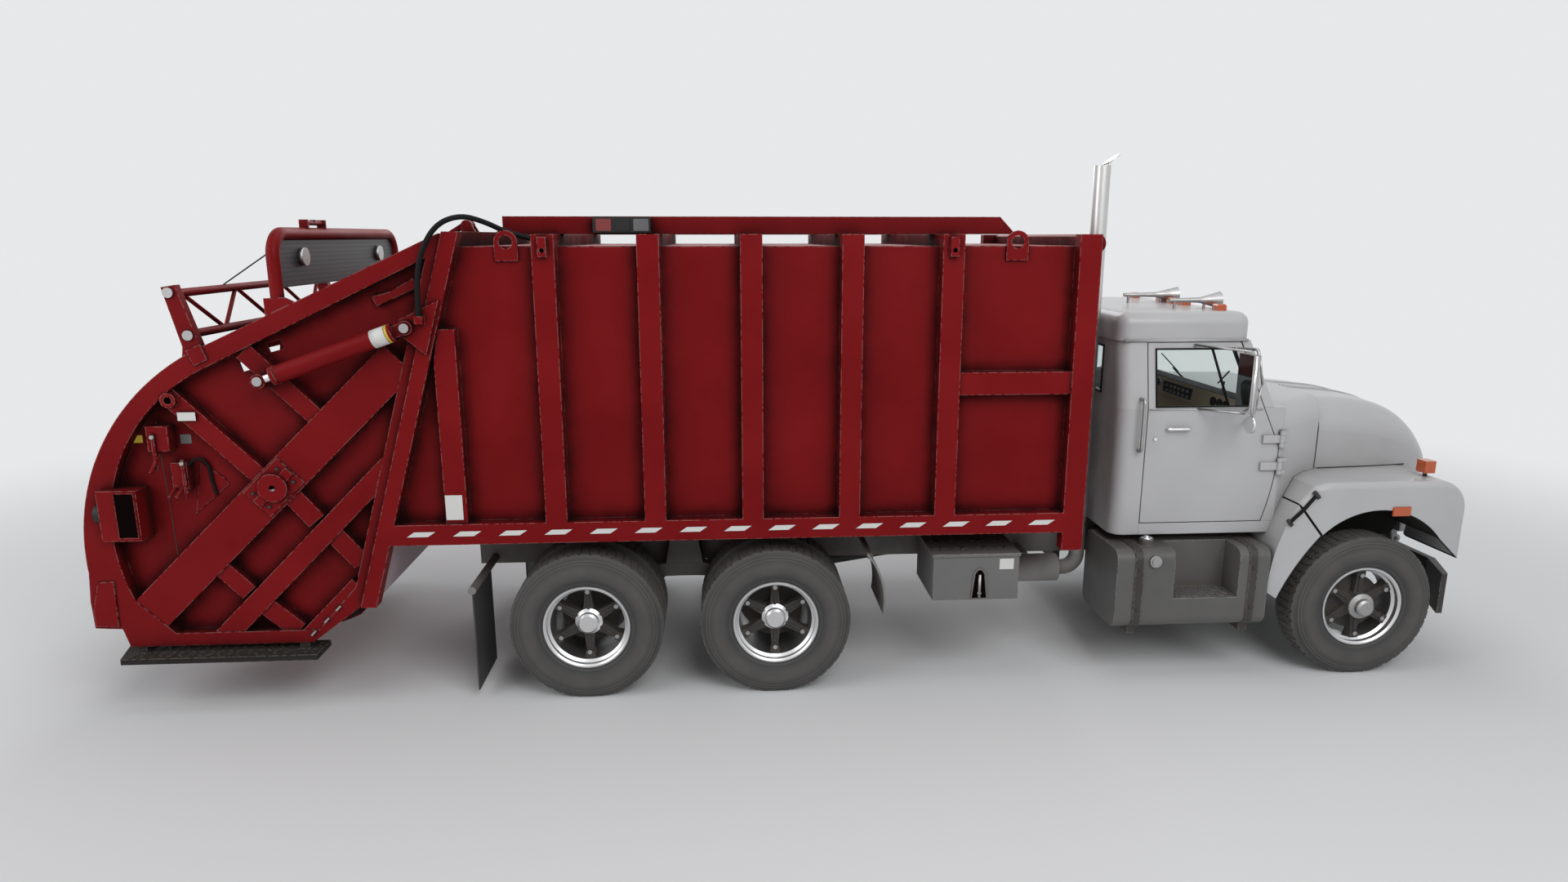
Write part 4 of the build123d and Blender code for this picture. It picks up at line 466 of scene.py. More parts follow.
reach = maths(punched, "ADD", maths(punched, "MULTIPLY", across, across), maths(punched, "MULTIPLY", up, up))
dot = maths(punched, "LESS_THAN", reach, 0.11)
dotted = blend_colour(punched, dot, given.outputs["Sheet"], given.outputs["Hole"])
punched.links.new(dotted, made.inputs["Color"])
SCREEN, screen_shader = principled("guard sheet", (0.2, 0.2, 0.2), 0.5, 0.3)
holes = add(SCREEN.node_tree, "ShaderNodeGroup", node_tree=punched)
# The Hole colour is painted shade where the sheet's holes would be.
holes.inputs["Sheet"].default_value = (0.046, 0.045, 0.052, 1)
holes.inputs["Hole"].default_value = (0.012, 0.012, 0.013, 1)
holes.inputs["Pitch"].default_value = 0.03
SCREEN.node_tree.links.new(holes.outputs["Color"], screen_shader.inputs["Base Color"])
print("group", punched.name)

# %% [markdown]
# ## Painting the CAD nodes
# A node can hold several materials: a twin wheel is tyres, rims, spokes and a cap in one body. The faces
# are told apart by where they lie, such as their distance from the axle, and get their material slots.

# %% Paint whole nodes
def paint(name, material, *rules):
    """Whole node in one material; each rule is (material, test of a face's middle)."""
    mesh = nodes[name].data
    mesh.materials.clear()
    for finish in [material] + [rule[0] for rule in rules]:
        mesh.materials.append(finish)
    for face in mesh.polygons:
        face.material_index = 0
        for place, (_, test) in enumerate(rules, start=1):
            if test(face.center, face.normal):
                face.material_index = place


WHOLE = (
    (RED, ("body_floor", "body_front", "body_side_right", "body_side_left", "body_roof", "rear_header",
           "lifting_eyes", "lift_brackets", "gate_side_right", "gate_side_left", "gate_cover", "truss",
           "lift_barrel_right", "lift_barrel_left")),
    (WHITE, ("cab_back", "cab_floor", "cab_roof", "cowl")),
    (GREY, ("battery_box",)),
    (TANK_GREY, ("fuel_tanks",)),
    (BUMPER, ("bumper", "tank_straps")),
    (SILL_PAINTED_LIGHT, ("rear_sill_wall",)),
    (FRAME_GREY, ("frame", "springs")),
    (CAST, ("axles", "engine_and_radiator", "knuckle_right", "knuckle_left", "tie_rod")),
    (STEP_BLACK, ("riding_steps",)),
    (STEEL, ("packer_blade", "grab_handles")),
    (RUBBER, ("hose_right", "hose_left")),
    (CHROME, ("grille",)),
    (GLASS, ("cab_glass",)),
)
for finish, names in WHOLE:
    for name in names:
        paint(name, finish)
print("nodes painted whole:", sum(len(names) for _, names in WHOLE))

# %% Paint nodes of several materials
WHEELS = (("wheel_front", 4.044, 1.055), ("wheels_mid", -0.266, 1.065), ("wheels_rear", -1.583, 1.065))
# columns: start of the node's name, axle's x, middle of the outer tyre


def wheel_rules(rubber, axle_x, tyre_y, front):
    def radius(c):
        return math.hypot(c.x - axle_x, c.z - AXLE_Z)

    def tyre(c, n):
        return radius(c) > 0.299

    def rim(c, n):
        return 0.252 < radius(c) <= 0.299

    def cap(c, n):
        return radius(c) < 0.101 and abs(c.y) > tyre_y + (0.02 if front else -0.03)

    return (rubber, tyre), (POLISHED, rim), (STEEL if front else POLISHED, cap)


for start, axle_x, tyre_y in WHEELS:
    rubber = tyre_finish(f"tyre rubber {start}", axle_x)
    for side in ("right", "left"):
        paint(f"{start}_{side}", CAST, *wheel_rules(rubber, axle_x, tyre_y, start == "wheel_front"))


def pane(c, n):
    lean = (c.z - 1.990) / 0.470 * 0.095
    depth = 1.0 - lean - abs(c.y)
    return 0.013 < depth < 0.031 and 2.003 < c.z < 2.402 and c.x < 3.155 and c.x > 2.447


def handle(c, n):
    return abs(c.y) > 1.001 and 1.80 < c.z < 1.9 and c.x < 2.75


for side in ("right", "left"):
    paint(f"door_{side}", WHITE, (GLASS, pane), (CHROME, handle))
    paint(f"mirror_{side}", STEEL, (MIRROR, lambda c, n: n.x < -0.9 and 2.0 < c.z < 2.4 and abs(c.y) > 1.12))
paint("dashboard", TAN, (PLASTIC, lambda c, n: c.x < 3.05 or n.z > 0.3))
paint("seats", VINYL)
SHAFT = Vector((-3.577, 0, 1.567))


def inside_bowl(c, n):
    to_shaft = Vector((SHAFT.x - c.x, 0, SHAFT.z - c.z))
    return n.dot(to_shaft.normalized()) > 0.4 and abs(n.y) < 0.5


def turned_in(c, n):
    """True inside a bonnet or a fender: the face looks down or towards the truck's middle."""
    return n.z < -0.25 or n.y * math.copysign(1, c.y) < -0.35


for side in ("right", "left"):
    paint(f"lift_rod_{side}", CHROME, (RED, lambda c, n: math.hypot(c.x + 3.547, c.z - 2.287) < 0.11))
paint("hood", WHITE, (UNDER, turned_in))
paint("hopper", RED, (STEEL, inside_bowl))
paint("fenders_and_flaps", WHITE, (UNDER, lambda c, n: c.x > 3.0 and turned_in(c, n)),
      (FRAME_GREY, lambda c, n: -2.0 < c.x < 0.6), (FLAP, lambda c, n: c.x < -2.0 and c.z < 0.79),
      (FRAME_GREY, lambda c, n: c.x < -2.0 and c.z >= 0.79))
paint("exhaust", STACK, (FRAME_GREY, lambda c, n: c.z < 1.0))
paint("front_lamps", CHROME, (CLEAR_LENS, lambda c, n: n.x > 0.5 and c.z < 1.3),
      (ORANGE, lambda c, n: c.z > 1.49), (PLASTIC, lambda c, n: 1.3 < c.z <= 1.49))
paint("roof_lamps_and_horns", STEEL, (ORANGE, lambda c, n: 2.948 < c.x < 3.02 and c.z < 2.707 and n.z > -0.5),
      (PLASTIC, lambda c, n: c.x < 0))
paint("lamp_pods_and_controls", RED, (PLASTIC, lambda c, n: c.x < -4.664),
      (RED_LENS, lambda c, n: c.x < -4.705 and n.x < -0.5))
paint("hoop_guard", RED, (SCREEN, lambda c, n: abs(c.x + 3.436) < 0.006 and abs(n.x) > 0.9))
print("nodes painted in parts")

# %% [markdown]
# ## Tread blocks
# A road tyre has rows of blocks parted by grooves. The CAD tyre is the smooth carcass, so the blocks are
# laid on it as low tiles that follow its crown, all of one tyre in one mesh. Real blocks would be moulded
# in one with the rubber; as tiles they keep the carcass whole and still show the tread in the outline.

# %% Tread
def add_object(name, mesh, body, material):
    mesh.materials.append(material)
    made = bpy.data.objects.new(name.replace(" ", "_"), mesh)
    scene.collection.objects.link(made)
    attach(made, body)
    return made


SIDES = (("right", -1), ("left", 1))
TREAD_HIGH = 0.006
TREAD_ROWS = (
    (-0.098, -0.062, 0.010, 44), (-0.055, -0.022, -0.006, 56), (-0.016, 0.016, 0.006, 56),
    (0.022, 0.055, -0.006, 56), (0.062, 0.098, 0.010, 44),
)
# columns: start and end across the tyre, skew along it, count round it


def tread(name, body, axle_x, middle_y, radius=0.525):
    mesh = bpy.data.meshes.new(name)
    build = bmesh.new()
    for y0, y1, skew, count in TREAD_ROWS:
        step = 2 * math.pi / count
        for i in range(count):
            ring = []
            for r in (radius - 0.004, radius + TREAD_HIGH):
                shrink = 0.40 if r < radius else 0.36
                for y, turn in ((y0, -1), (y0, 1), (y1, 1), (y1, -1)):
                    angle = i * step + turn * shrink * step + math.copysign(skew / radius, y - (y0 + y1) / 2)
                    x, z = axle_x + r * math.cos(angle), AXLE_Z + r * math.sin(angle)
                    ring.append(build.verts.new((x, middle_y + y, z)))
            build.faces.new(ring[4:])
            for k in range(4):
                build.faces.new((ring[k], ring[(k + 1) % 4], ring[4 + (k + 1) % 4], ring[4 + k]))
    bmesh.ops.recalc_face_normals(build, faces=build.faces)
    build.to_mesh(mesh)
    build.free()
    return add_object(name, mesh, body, TREAD)


tread_count = 0
for start, axle_x, tyre_y in WHEELS:
    for side, sign in SIDES:
        rows = (tyre_y,) if start == "wheel_front" else (tyre_y, tyre_y - 0.33)
        for k, y in enumerate(rows):
            tread(f"tread {start} {side} {k}", f"{start}_{side}", axle_x, sign * y)
            tread_count += 1
print("treads:", tread_count)

# %% [markdown]
# ## Stripes and small fittings
# The lower rail carries slanted white reflective bars, stuck on as tape. Each is a thin sheet just off the
# paint. The fittings that follow are plates and blocks drawn in side view; two helpers make them.

# %% Helpers for small fittings
SHIFT = 0.266


def at(x, y, z):
    """From the drawing's millimetres, with x from the forward drive axle, to metres in the frame."""
    return Vector((x / 1000 - SHIFT, y / 1000, z / 1000))


def prism(name, body, material, outline, y0, y1, bevel=0.0):
    """A plate drawn in side view in drawing millimetres, from y0 to y1."""
    mesh = bpy.data.meshes.new(name)
    build = bmesh.new()
    near = [build.verts.new(at(x, y0, z)) for x, z in outline]
    far = [build.verts.new(at(x, y1, z)) for x, z in outline]
    build.faces.new(near)
    build.faces.new(far[::-1])
    for k in range(len(outline)):
        build.faces.new((near[k], far[k], far[(k + 1) % len(outline)], near[(k + 1) % len(outline)]))
    bmesh.ops.recalc_face_normals(build, faces=build.faces)
    if bevel:
        bmesh.ops.bevel(build, geom=build.edges[:], offset=bevel / 1000, segments=2, affect="EDGES",
                        clamp_overlap=True)
    build.to_mesh(mesh)
    build.free()
    return add_object(name, mesh, body, material)


def block(name, body, material, x0, x1, y0, y1, z0, z1, bevel=0.0):
    return prism(name, body, material, ((x0, z0), (x1, z0), (x1, z1), (x0, z1)), y0, y1, bevel)


print("helpers ready")

# %% Reflective bars on the lower rail
STRIPES = 15
for side, sign in SIDES:
    for i in range(STRIPES):
        x = -2447 + i * (1776 + 2447) / (STRIPES - 1)
        prism(f"rail stripe {side} {i}", "chassis", WHITE_TAPE,
              ((x - 20, 1220), (x + 118, 1220), (x + 168, 1254), (x + 30, 1254)), sign * 1219.5, sign * 1221)
print("rail stripes:", 2 * STRIPES)

# %% [markdown]
# ## Seats
# Each seat is foam under vinyl: crowned, with soft edges and two sewn channels. A block would look hard, so
# a smaller block is remeshed evenly and blown up as cloth. Corners hold back by themselves, as in a real
# cover, and a soft limit keeps the middle from swelling too far. The channels are pressed in afterwards.

# %% Blown pads
def evaluated_copy(piece):
    return bpy.data.meshes.new_from_object(piece.evaluated_get(bpy.context.evaluated_depsgraph_get()))


def blown_pad(name, size, limit):
    """A pad of about this size, as a mesh round its own middle, swollen by the limit at most."""
    block_mesh = bpy.data.meshes.new(name)
    build = bmesh.new()
    start = Vector(size) - Vector((limit, limit, limit))
    bmesh.ops.create_cube(build, size=1.0, matrix=Matrix.Diagonal((*start, 1)))
    bmesh.ops.bevel(build, geom=build.edges[:], offset=0.025, segments=3, affect="EDGES")
    build.to_mesh(block_mesh)
    build.free()
    pad = bpy.data.objects.new(name, block_mesh)
    scene.collection.objects.link(pad)
    pad.modifiers.new("even", "REMESH").voxel_size = 0.015
    pad.data = evaluated_copy(pad)
    pad.modifiers.clear()
    cloth = pad.modifiers.new("blown", "CLOTH").settings
    cloth.use_pressure = True
    cloth.uniform_pressure_force = 4.0
    cloth.effector_weights.gravity = 0.0
    for step in range(1, 21):
        scene.frame_set(step)
    swollen = evaluated_copy(pad)
    for rest, vert in zip(pad.data.vertices, swollen.vertices):
        moved = vert.co - rest.co
        far = max(moved.length, 1e-6)
        vert.co = rest.co + moved * (limit * math.tanh(far / limit) / far)
    scene.frame_set(1)
    bpy.data.objects.remove(pad)
    return swollen


def sew(mesh, axis, reach):
    """Two channels across a pad's outer face, which looks along the axis."""
    for vert in mesh.vertices:
        if vert.co[axis] > reach:
            vert.co[axis] -= sum(0.012 * math.exp(-((vert.co.y - y) / 0.012) ** 2) for y in (-0.085, 0.085))
    for face in mesh.polygons:
        face.use_smooth = True


base_mesh = blown_pad("seat cushion", (0.480, 0.510, 0.138), 0.020)
back_mesh = blown_pad("seat back", (0.110, 0.500, 0.610), 0.020)
sew(base_mesh, 2, 0.03)
sew(back_mesh, 0, 0.02)
print("pads blown:", len(base_mesh.vertices), "and", len(back_mesh.vertices), "points")

# %% Seats in place
PADS = (("seat cushion", base_mesh, 2830, 1471, -0.05), ("seat back", back_mesh, 2600, 1810, 0.16))
# columns: name, mesh, middle along and up in the drawing, lean
for side, y in (("right", -470), ("left", 470)):
    for name, mesh, x, z, lean in PADS:
        placed = mesh.copy()
        placed.transform(Matrix.Translation(at(x, y, z)) @ Matrix.Rotation(lean, 4, "Y"))
        piece = add_object(f"{name} {side}", placed, "chassis", VINYL)
        piece.modifiers.new("soft", "SUBSURF").render_levels = 1
    block(f"seat stand {side}", "chassis", PLASTIC, 2600, 3000, y - 180, y + 180, 1102, 1400)
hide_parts("seats")

# %% [markdown]
# ## Bars, bolts and plates in one mesh
# A fitting often has many like pieces: nuts, studs, tread bars. Making each an object would clutter the
# scene, so two helpers gather a list of round bars, or of turned boxes, into one mesh that rides one body.

# %% Helpers for many like pieces
def bars(name, body, material, items, sides=12):
    """Round bars in one mesh; an item is (start, end, radius) in drawing millimetres."""
    mesh = bpy.data.meshes.new(name)
    build = bmesh.new()
    for start, end, radius in items:
        a, b = at(*start), at(*end)
        turn = (b - a).to_track_quat("Z", "Y").to_matrix().to_4x4()
        bmesh.ops.create_cone(build, cap_ends=True, segments=sides, radius1=radius / 1000,
                              radius2=radius / 1000, depth=(b - a).length,
                              matrix=Matrix.Translation((a + b) / 2) @ turn)
    build.to_mesh(mesh)
    build.free()
    for face in mesh.polygons:
        face.use_smooth = sides > 8 and len(face.vertices) == 4
    return add_object(name, mesh, body, material)


def tiles(name, body, material, items):
    """Boxes in one mesh; an item is (middle, sizes, turn in degrees, axis to turn about)."""
    mesh = bpy.data.meshes.new(name)
    build = bmesh.new()
    for middle, sizes, degrees, axis in items:
        place = Matrix.Translation(at(*middle)) @ Matrix.Rotation(math.radians(degrees), 4, axis)
        stretch = Matrix.Diagonal((*[v / 1000 for v in sizes], 1))
        bmesh.ops.create_cube(build, size=1.0, matrix=place @ stretch)
    build.to_mesh(mesh)
    build.free()
    return add_object(name, mesh, body, material)


def seal(name, body, material, points, radius, closed=True):
    """A round rubber bead along a line of points in drawing millimetres."""
    curve = bpy.data.curves.new(name, "CURVE")
    curve.dimensions = "3D"
    curve.bevel_depth = radius / 1000
    curve.bevel_resolution = 3
    line = curve.splines.new("POLY")
    line.points.add(len(points) - 1)
    for point, place in zip(line.points, points):
        point.co = (*at(*place), 1)
    line.use_cyclic_u = closed
    return add_object(name, curve, body, material)


print("bars, tiles and seals ready")

# %% [markdown]
# ## Hydraulic hoses
# From a fitting on each lift bracket a black hose rises, bows over the rear post and runs down to a port on
# the roof. Its line is a smooth curve through the points of the CAD tube, with a round section.

# %% Hoses
HOSE_POINTS = ((-2260, -1262, 2690), (-2260, -1262, 2880), (-2225, -1254, 3080), (-2125, -1238, 3255),
               (-1985, -1175, 3315), (-1855, -1090, 3275), (-1730, -1015, 3205), (-1590, -985, 3170))
HOSE_RADIUS = 0.017


def hose(side, sign):
    curve = bpy.data.curves.new(f"hose {side}", "CURVE")
    curve.dimensions = "3D"
    curve.bevel_depth = HOSE_RADIUS
    curve.bevel_resolution = 5
    curve.resolution_u = 16
    line = curve.splines.new("NURBS")
    line.points.add(len(HOSE_POINTS) - 1)
    for point, (x, y, z) in zip(line.points, HOSE_POINTS):
        point.co = (*at(x, -sign * y, z), 1)
    line.order_u = 3
    line.use_endpoint_u = True
    return add_object(f"hydraulic hose {side}", curve, "chassis", RUBBER)


for side, sign in SIDES:
    made = hose(side, sign)
    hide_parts(f"hose_{side}")

# %% [markdown]
# ## Wheel clamps and hub rings
# A spoke wheel holds its rims with wedges: on each spoke's end a stud, a clamp and a nut, and a rib runs
# down the spoke. They are small rigid pieces, so bars stand for nuts and tiles for clamps and ribs.

# %% Wheel clamps
for start, axle_x, tyre_y in WHEELS:
    front = start == "wheel_front"
    spoke_y = 1000 * tyre_y + (55 if front else -5)
    for side, sign in SIDES:
        x0, z0 = 1000 * (axle_x + SHIFT), 1000 * AXLE_Z
        nuts, clamps = [], []
        for degrees in range(30, 390, 60):
            out, down = math.cos(math.radians(degrees)), math.sin(math.radians(degrees))
            x, z = x0 + 226 * out, z0 - 226 * down
            nuts.append(((x, sign * spoke_y, z), (x, sign * (spoke_y + 24), z), 17))
            for reach, proud, sizes in ((240, 4, (38, 16, 62)), (150, 3, (116, 10, 15))):
                middle = (x0 + reach * out, sign * (spoke_y + proud), z0 - reach * down)
                clamps.append((middle, sizes, degrees, "Y"))
        bars(f"{start} nuts {side}", f"{start}_{side}", STEEL, nuts, 6)
        tiles(f"{start} clamps {side}", f"{start}_{side}", CAST, clamps)
print("clamps on", 2 * len(WHEELS), "wheels")

# %% [markdown]
# ## Tailgate fittings
# Bright pin heads mark where the truss, the cylinders and the packer's shaft are hung. The riding steps
# have raised tread bars, set crosswise like checker plate, so that boots do not slip.

# %% Pins and tread plate on the tailgate
for side, sign in SIDES:
    pins = [((x, sign * 1168, z), (x, sign * 1184, z), 32) for x, z in ((-3811, 2838), (-3724, 2570))]
    pins += [((-3281, sign * 1285, 2287), (-3281, sign * 1296, 2287), 30),
             ((-3311, sign * 1184, 1567), (-3311, sign * 1196, 1567), 20)]
    bars(f"gate pins {side}", "tailgate", STEEL, pins, 20)
    foot_pin = ((-2351, sign * 1285, 2617), (-2351, sign * 1294, 2617), 30)
    bars(f"lift foot pin {side}", "chassis", STEEL, [foot_pin], 20)
    bolts = [((x, sign * 1173, z), (x, sign * 1186, z), 11) for x, z in
             ((-3444, 1530), (-3274, 1692), (-3348, 1436), (-3178, 1604))]
    bars(f"pivot plate bolts {side}", "tailgate", CAST, bolts, 6)
    grip = [((-4330 + 62 * i, sign * (1060 + 55 * j), 422), (46, 12, 6), 45 if (i + j) % 2 else -45, "Z")
            for i in range(20) for j in range(4)]
    tiles(f"step grip {side}", "tailgate", STEP_BLACK, grip)
rope = [((-3806, -500, 2855), (-3190, -470, 3270), 5), ((-3190, -470, 3290), (-3150, -470, 3290), 5)]
bars("hoist rope", "tailgate", CAST, rope, 8)
print("pins, bolts, grip and rope ready")

# %% [markdown]
# The packer's shaft ends in a boss on each side: a raised bar along the brace with a ring round the pin.
# Plates are welded on at the truss's foot and at the lower rear corner, and small latches hold the drain lid.

# %% Plates on the tailgate's sides
def circle(x, y, z, radius, steps=24):
    """Points round a pin that runs across the truck."""
    turns = [2 * math.pi * k / steps for k in range(steps)]
    return [(x + radius * math.cos(turn), y, z + radius * math.sin(turn)) for turn in turns]


GATE_PLATES = (
    ("truss foot plate", ((-3752, 2474), (-3656, 2516), (-3620, 2414), (-3712, 2372)), 1169, 1180),
    ("corner plate", ((-4510, 939), (-4404, 943), (-4414, 616), (-4564, 622), (-4568, 731)), 1169, 1178),
    ("upper plate", ((-2590, 2806), (-2477, 2836), (-2318, 2925), (-2305, 2856), (-2565, 2741)), 1084, 1120),
)
# columns: name, outline in side view, inner and outer face
for side, sign in SIDES:
    tiles(f"shaft boss bar {side}", "tailgate", RED, [((-3311, sign * 1177, 1567), (320, 10, 66), -44, "Y")])
    boss = ((-3311, sign * 1174, 1567), (-3311, sign * 1185, 1567), 62)
    bars(f"shaft boss {side}", "tailgate", RED, [boss], 28)
    seal(f"shaft ring {side}", "tailgate", CAST, circle(-3311, sign * 1184, 1567, 46), 5)
    for name, outline, inner, outer in GATE_PLATES:
        prism(f"{name} {side}", "tailgate", RED, outline, sign * inner, sign * outer, 3)
    latches = [((x, sign * 1175, z), (46, 16, 12), -46, "Y")
               for x, z in ((-2975, 715), (-3060, 630), (-3155, 540))]
    tiles(f"drain latches {side}", "tailgate", STEEL, latches)
    weld = ((-4046, sign * 1085, 2004), (-4024, sign * 1085, 1086), 3)
    bars(f"tailgate seam {side}", "tailgate", CAST, [weld], 8)
    block(f"yellow reflector {side}", "tailgate", YELLOW_TAPE, -4285, -4143, sign * 1084, sign * 1087,
          1862, 1912)
    block(f"white reflector {side}", "tailgate", WHITE_TAPE, -3859, -3747, sign * 1169, sign * 1171,
          2020, 2075)
    # The pod's opening is a flat sheet of painted shade.
    block(f"pod opening {side}", "tailgate", SHADE_SHEET, -4285, -4168, sign * 1234, sign * 1236, 1262, 1552)
    seal(f"pod lip {side}", "tailgate", RED, ((-4288, sign * 1237, 1256), (-4288, sign * 1237, 1558),
                                              (-4164, sign * 1237, 1558), (-4164, sign * 1237, 1256)), 6)
    along = Vector((-930, 0, -330)).normalized()
    foot = Vector((-2351, sign * 1258, 2617))
    for name, tape, near, end in (("band", WHITE_TAPE, 120, 215), ("line", YELLOW_TAPE, 100, 118)):
        wrap = (foot + along * near, foot + along * end, 59)
        bars(f"cylinder {name} {side}", f"lift_barrel_{side}", tape, [wrap], 32)
print("tailgate plates ready")

# %% [markdown]
# On the right side two valve levers stand by the riding step, so that the loader can work the packer while
# watching it. Each is a flat bar on a pin beside its box, and a hose leads oil from the lower one.

# %% Control levers
LEVERS = ((-4021, 1180, 1697, 1944), (-3869, 1160, 1500, 1763))
# columns: middle, face of its box, foot, head
for k, (x, face, low, high) in enumerate(LEVERS):
    block(f"lever {k}", "tailgate", RED, x - 12, x + 12, -face - 14, -face - 2, low, high, 3)
    bars(f"lever pin {k}", "tailgate", STEEL, [((x, -face, high - 25), (x, -face - 24, high - 25), 13)], 16)
seal("valve hose", "tailgate", RUBBER,
     ((-3852, -1140, 1715), (-3815, -1118, 1757), (-3776, -1105, 1752), (-3742, -1100, 1700),
      (-3733, -1097, 1600), (-3716, -1096, 1505)), 9, closed=False)
prism("valve plate", "tailgate", RED, ((-3873, 1366), (-3630, 1573), (-3655, 1618), (-3796, 1730)),
      -1084, -1090, 2)
block("blank plate", "tailgate", GREY, -3906, -3836, -1084, -1087, 1852, 1914)
block("body blank plate", "chassis", WHITE_TAPE, -2204, -2092, -1199, -1202, 1330, 1500)
for k, y in enumerate((-720, 720)):
    housing = [((-3176, y, 3050), (-3214, y, 3050), 62), ((-3164, y, 3050), (-3134, y, 3050), 60)]
    bars(f"guard lamp {k}", "tailgate", STEEL, housing, 28)
    bars(f"guard lens {k}", "tailgate", CLEAR_LENS, [((-3212, y, 3050), (-3218, y, 3050), 52)], 28)
print("levers:", len(LEVERS))

# %% [markdown]
# ## Tank, battery box and beam lamps
# Step pockets and box lids carry raised marks for grip. The lid's marks are plus signs, each of two bars.

# %% Side equipment
lid = []
for i in range(4):
    for j in range(3):
        x, y = 1190 + 155 * i, -(700 + 160 * j)
        lid += [((x, y, 996), (110, 22, 6), 0, "Z"), ((x, y, 996), (22, 110, 6), 0, "Z")]
tiles("box lid grip", "chassis", FRAME_GREY, lid)
ARCH = ((1392, 658), (1412, 845), (1430, 872), (1450, 880), (1470, 872), (1488, 845), (1508, 658))
# The box's recess is a flat sheet of painted shade, framed by a lip.
prism("box recess", "chassis", SHADE_SHEET, ARCH, -1149, -1151)
seal("box recess lip", "chassis", GREY, [(x, -1152, z) for x, z in ARCH], 8)
bars("box latch", "chassis", STEEL,
     [((1450, -1158, 668), (1450, -1158, 840), 11), ((1436, -1158, 700), (1464, -1158, 700), 9)])
block("box blank plate", "chassis", WHITE_TAPE, 1590, 1692, -1149, -1152, 874, 952)
for side, sign in SIDES:
    grip = [((2900 + 48 * i, sign * (1010 + 52 * j), 642), (34, 9, 6), 45 if (i + j) % 2 else -45, "Z")
            for i in range(9) for j in range(4)]
    tiles(f"tank step grip {side}", "chassis", STEEL, grip)
    rings = [((2700, sign * 1040, low), (2700, sign * 1040, high), radius)
             for low, high, radius in ((1044, 1052, 40), (1052, 1062, 16))]
    bars(f"tank cap {side}", "chassis", CHROME, rings, 24)
    spout = [((2700, sign * inner, 925), (2700, sign * outer, 925), radius)
             for inner, outer, radius in ((1196, 1222, 42), (1222, 1230, 28))]
    bars(f"tank side cap {side}", "chassis", STEEL, spout, 24)
    strap_bolts = [((x, sign * 1208, z), (x, sign * 1217, z), 12) for x in (2590, 3430) for z in (560, 860)]
    bars(f"strap bolts {side}", "chassis", CAST, strap_bolts, 6)
for i, finish in enumerate((RED_LENS, PLASTIC, SMOKED)):
    x = -1165 + 122 * i
    block(f"beam lamp lens {i}", "chassis", finish, x, x + 100, -1003, -994, 3217, 3295, 3)
print("side equipment ready")

# %% [markdown]
# ## Cab trim
# Each pane sits in a black rubber bead. The door pane has a bar that parts off the vent window, the screen
# has two wipers, and a gutter runs along the roof over the doors.

# %% Seals, wipers and gutters
def lean_y(z, sign, proud=0.0):
    """Distance out to the cab's leaning side at height z."""
    return sign * (1000 + proud - max(0.0, (z - 1990) / 470 * 95))


for side, sign in SIDES:
    corners = ((2712, 2002), (3432, 2002), (3284, 2403), (2712, 2403))
    door = f"door_{side}"
    seal(f"door pane seal {side}", door, RUBBER, [(x, lean_y(z, sign, 2), z) for x, z in corners], 9)
    vent = ((3130, lean_y(2402, sign, -12), 2402), (3245, lean_y(2004, sign, -12), 2004), 9)
    bars(f"vent bar {side}", door, RUBBER, [vent])
    bars(f"roof gutter {side}", "chassis", WHITE, [((2480, sign * 915, 2464), (3380, sign * 915, 2464), 9)])
    bars(f"door lock {side}", door, CHROME, [((2720, sign * 1000, 1770), (2720, sign * 1008, 1770), 13)], 16)
    round_mirror = ((3232, sign * 1290, 1925), (3246, sign * 1290, 1925), 62)
    bars(f"round mirror {side}", door, CHROME, [round_mirror], 32)
    bars(f"mirror frame {side}", door, CHROME,
         [((3228, sign * y, 2004), (3228, sign * y, 2396), 9) for y in (1312, 1136)])
    stays = [((3228, sign * 1240, 2420), (2990, sign * 922, 2432), 8),
             ((3228, sign * 1240, 1990), (3010, sign * 996, 1985), 8),
             ((3254, sign * 1300, 2400), (3290, sign * 1300, 2200), 7),
             ((3290, sign * 1300, 2200), (3254, sign * 1300, 2000), 7)]
    bars(f"mirror stays {side}", door, STEEL, stays)
    bars(f"belt crease {side}", door, WHITE, [((2662, sign * 1000, 1982), (3492, sign * 1000, 1976), 6)])
    arm = [((3566, sign * 300, 1992), (3510, sign * 420, 2085), 8),
           ((3512, sign * 330, 2064), (3464, sign * 560, 2190), 6)]
    bars(f"wiper {side}", "chassis", PLASTIC, arm, 8)
screen_edge = ((3540, -948, 1994), (3372, -858, 2456), (3372, 858, 2456), (3540, 948, 1994))
seal("screen seal", "chassis", RUBBER, screen_edge, 11)
rear_edge = [(2450, y, z) for y, z in ((-640, 2060), (-640, 2400), (640, 2400), (640, 2060))]
seal("rear pane seal", "chassis", RUBBER, rear_edge, 11)
print("cab trim ready")

# %% [markdown]
# ## Bonnet fittings
# Rubber latches hold the bonnet down over the rear of each fender. Orange markers sit on the fenders'
# sides, a bright ring frames each headlamp, and a splash panel behind each wheel keeps mud off the engine.
# The pressed ridges on top follow the curved sheet, so their heights are found by casting rays down on it.

# %% Bonnet fittings
shell = nodes["hood"].data
skin = BVHTree.FromPolygons([vert.co for vert in shell.vertices],
                            [face.vertices[:] for face in shell.polygons])


def on_bonnet(x, y):
    """The place on the bonnet's top at x and y, in drawing millimetres."""
    return x, y, 1000 * skin.ray_cast(at(x, y, 2600), Vector((0, 0, -1)))[0].z


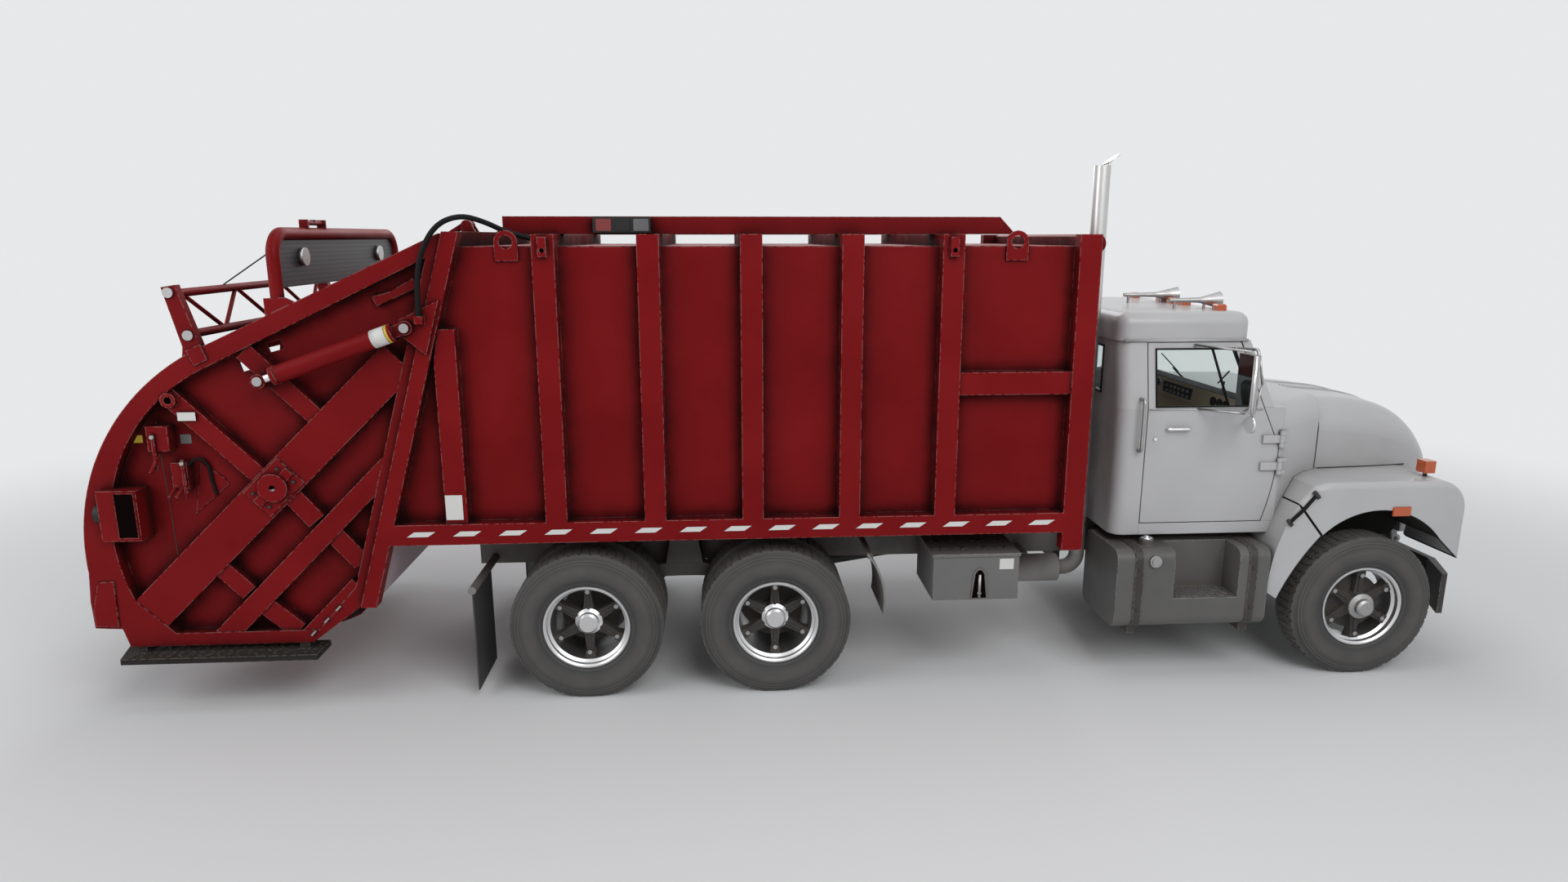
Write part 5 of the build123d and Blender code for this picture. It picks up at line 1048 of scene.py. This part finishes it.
for side, sign in SIDES:
    strap = ((3846, sign * 1186, 1384), (3760, sign * 1192, 1280), (3672, sign * 1188, 1188))
    seal(f"bonnet latch {side}", "hood", RUBBER, strap, 13, closed=False)
    tiles(f"latch ends {side}", "hood", CAST, [((3846, sign * 1188, 1388), (60, 24, 26), 50, "Y"),
                                               ((3672, sign * 1188, 1186), (54, 22, 24), 50, "Y")])
    block(f"side marker {side}", "hood", ORANGE, 4432, 4568, sign * 1179, sign * 1190, 1218, 1286, 4)
    foot = [(x, sign * (half + 2), 1467)
            for x, half in ((4125, 724), (4320, 708), (4520, 690), (4700, 666), (4880, 640))]
    seal(f"bonnet seam {side}", "hood", PLASTIC, foot, 5, closed=False)
    for y in (110, 165):
        crest = [on_bonnet(x, sign * y) for x in range(4140, 4870, 40)]
        seal(f"bonnet ridge {y} {side}", "hood", WHITE, crest, 9, closed=False)
    turns = [math.radians(a) for a in range(0, 360, 12)]
    ring = [(5004, sign * 860 + 96 * math.cos(turn), 1180 + 96 * math.sin(turn)) for turn in turns]
    seal(f"headlamp ring {side}", "hood", CHROME, ring, 12)
    prism(f"splash panel {side}", "hood", UNDER,
          ((3960, 1440), (3960, 1020), (4100, 880), (4900, 880), (4960, 960), (4980, 1440)),
          sign * 562, sign * 566)
print("bonnet fittings ready")

# %% [markdown]
# ## Dashboard
# Through the door glass a tan panel shows, with round dials before the driver and a lid before the passenger.

# %% Instrument panel
prism("instrument panel", "chassis", TAN,
      ((3330, 1900), (3352, 2036), (3400, 2056), (3500, 1952), (3500, 1900)), -900, 900, 4)
prism("dash top pad", "chassis", PLASTIC,
      ((3346, 2036), (3398, 2060), (3504, 1956), (3500, 1950), (3398, 2050), (3352, 2028)), -905, 905)
block("switch panel", "chassis", PLASTIC, 3330, 3352, -260, 210, 1915, 2005, 3)
rims, faces = [], []
DIALS = ((300, 1985, 34), (400, 1990, 44), (520, 1990, 44), (630, 1985, 34), (720, 1980, 28))
for y, z, r in DIALS:
    rims.append(((3350, y, z), (3326, y, z), r))
    faces.append(((3328, y, z), (3324, y, z), r - 6))
knobs = [((3332, y, z), (3316, y, z), 11) for y in range(-220, 200, 70) for z in (1938, 1980)]
vents = [((3346, y, 1965), (3330, y, 1965), 36) for y in (-780, -690, -600)]
bars("dial rims", "chassis", CHROME, rims, 28)
bars("dial faces and vents", "chassis", PLASTIC, faces + vents, 28)
bars("dash knobs", "chassis", STEEL, knobs, 14)
block("glove box lid", "chassis", TAN, 3336, 3352, -720, -330, 1690, 1850, 3)
print("dials:", len(DIALS))
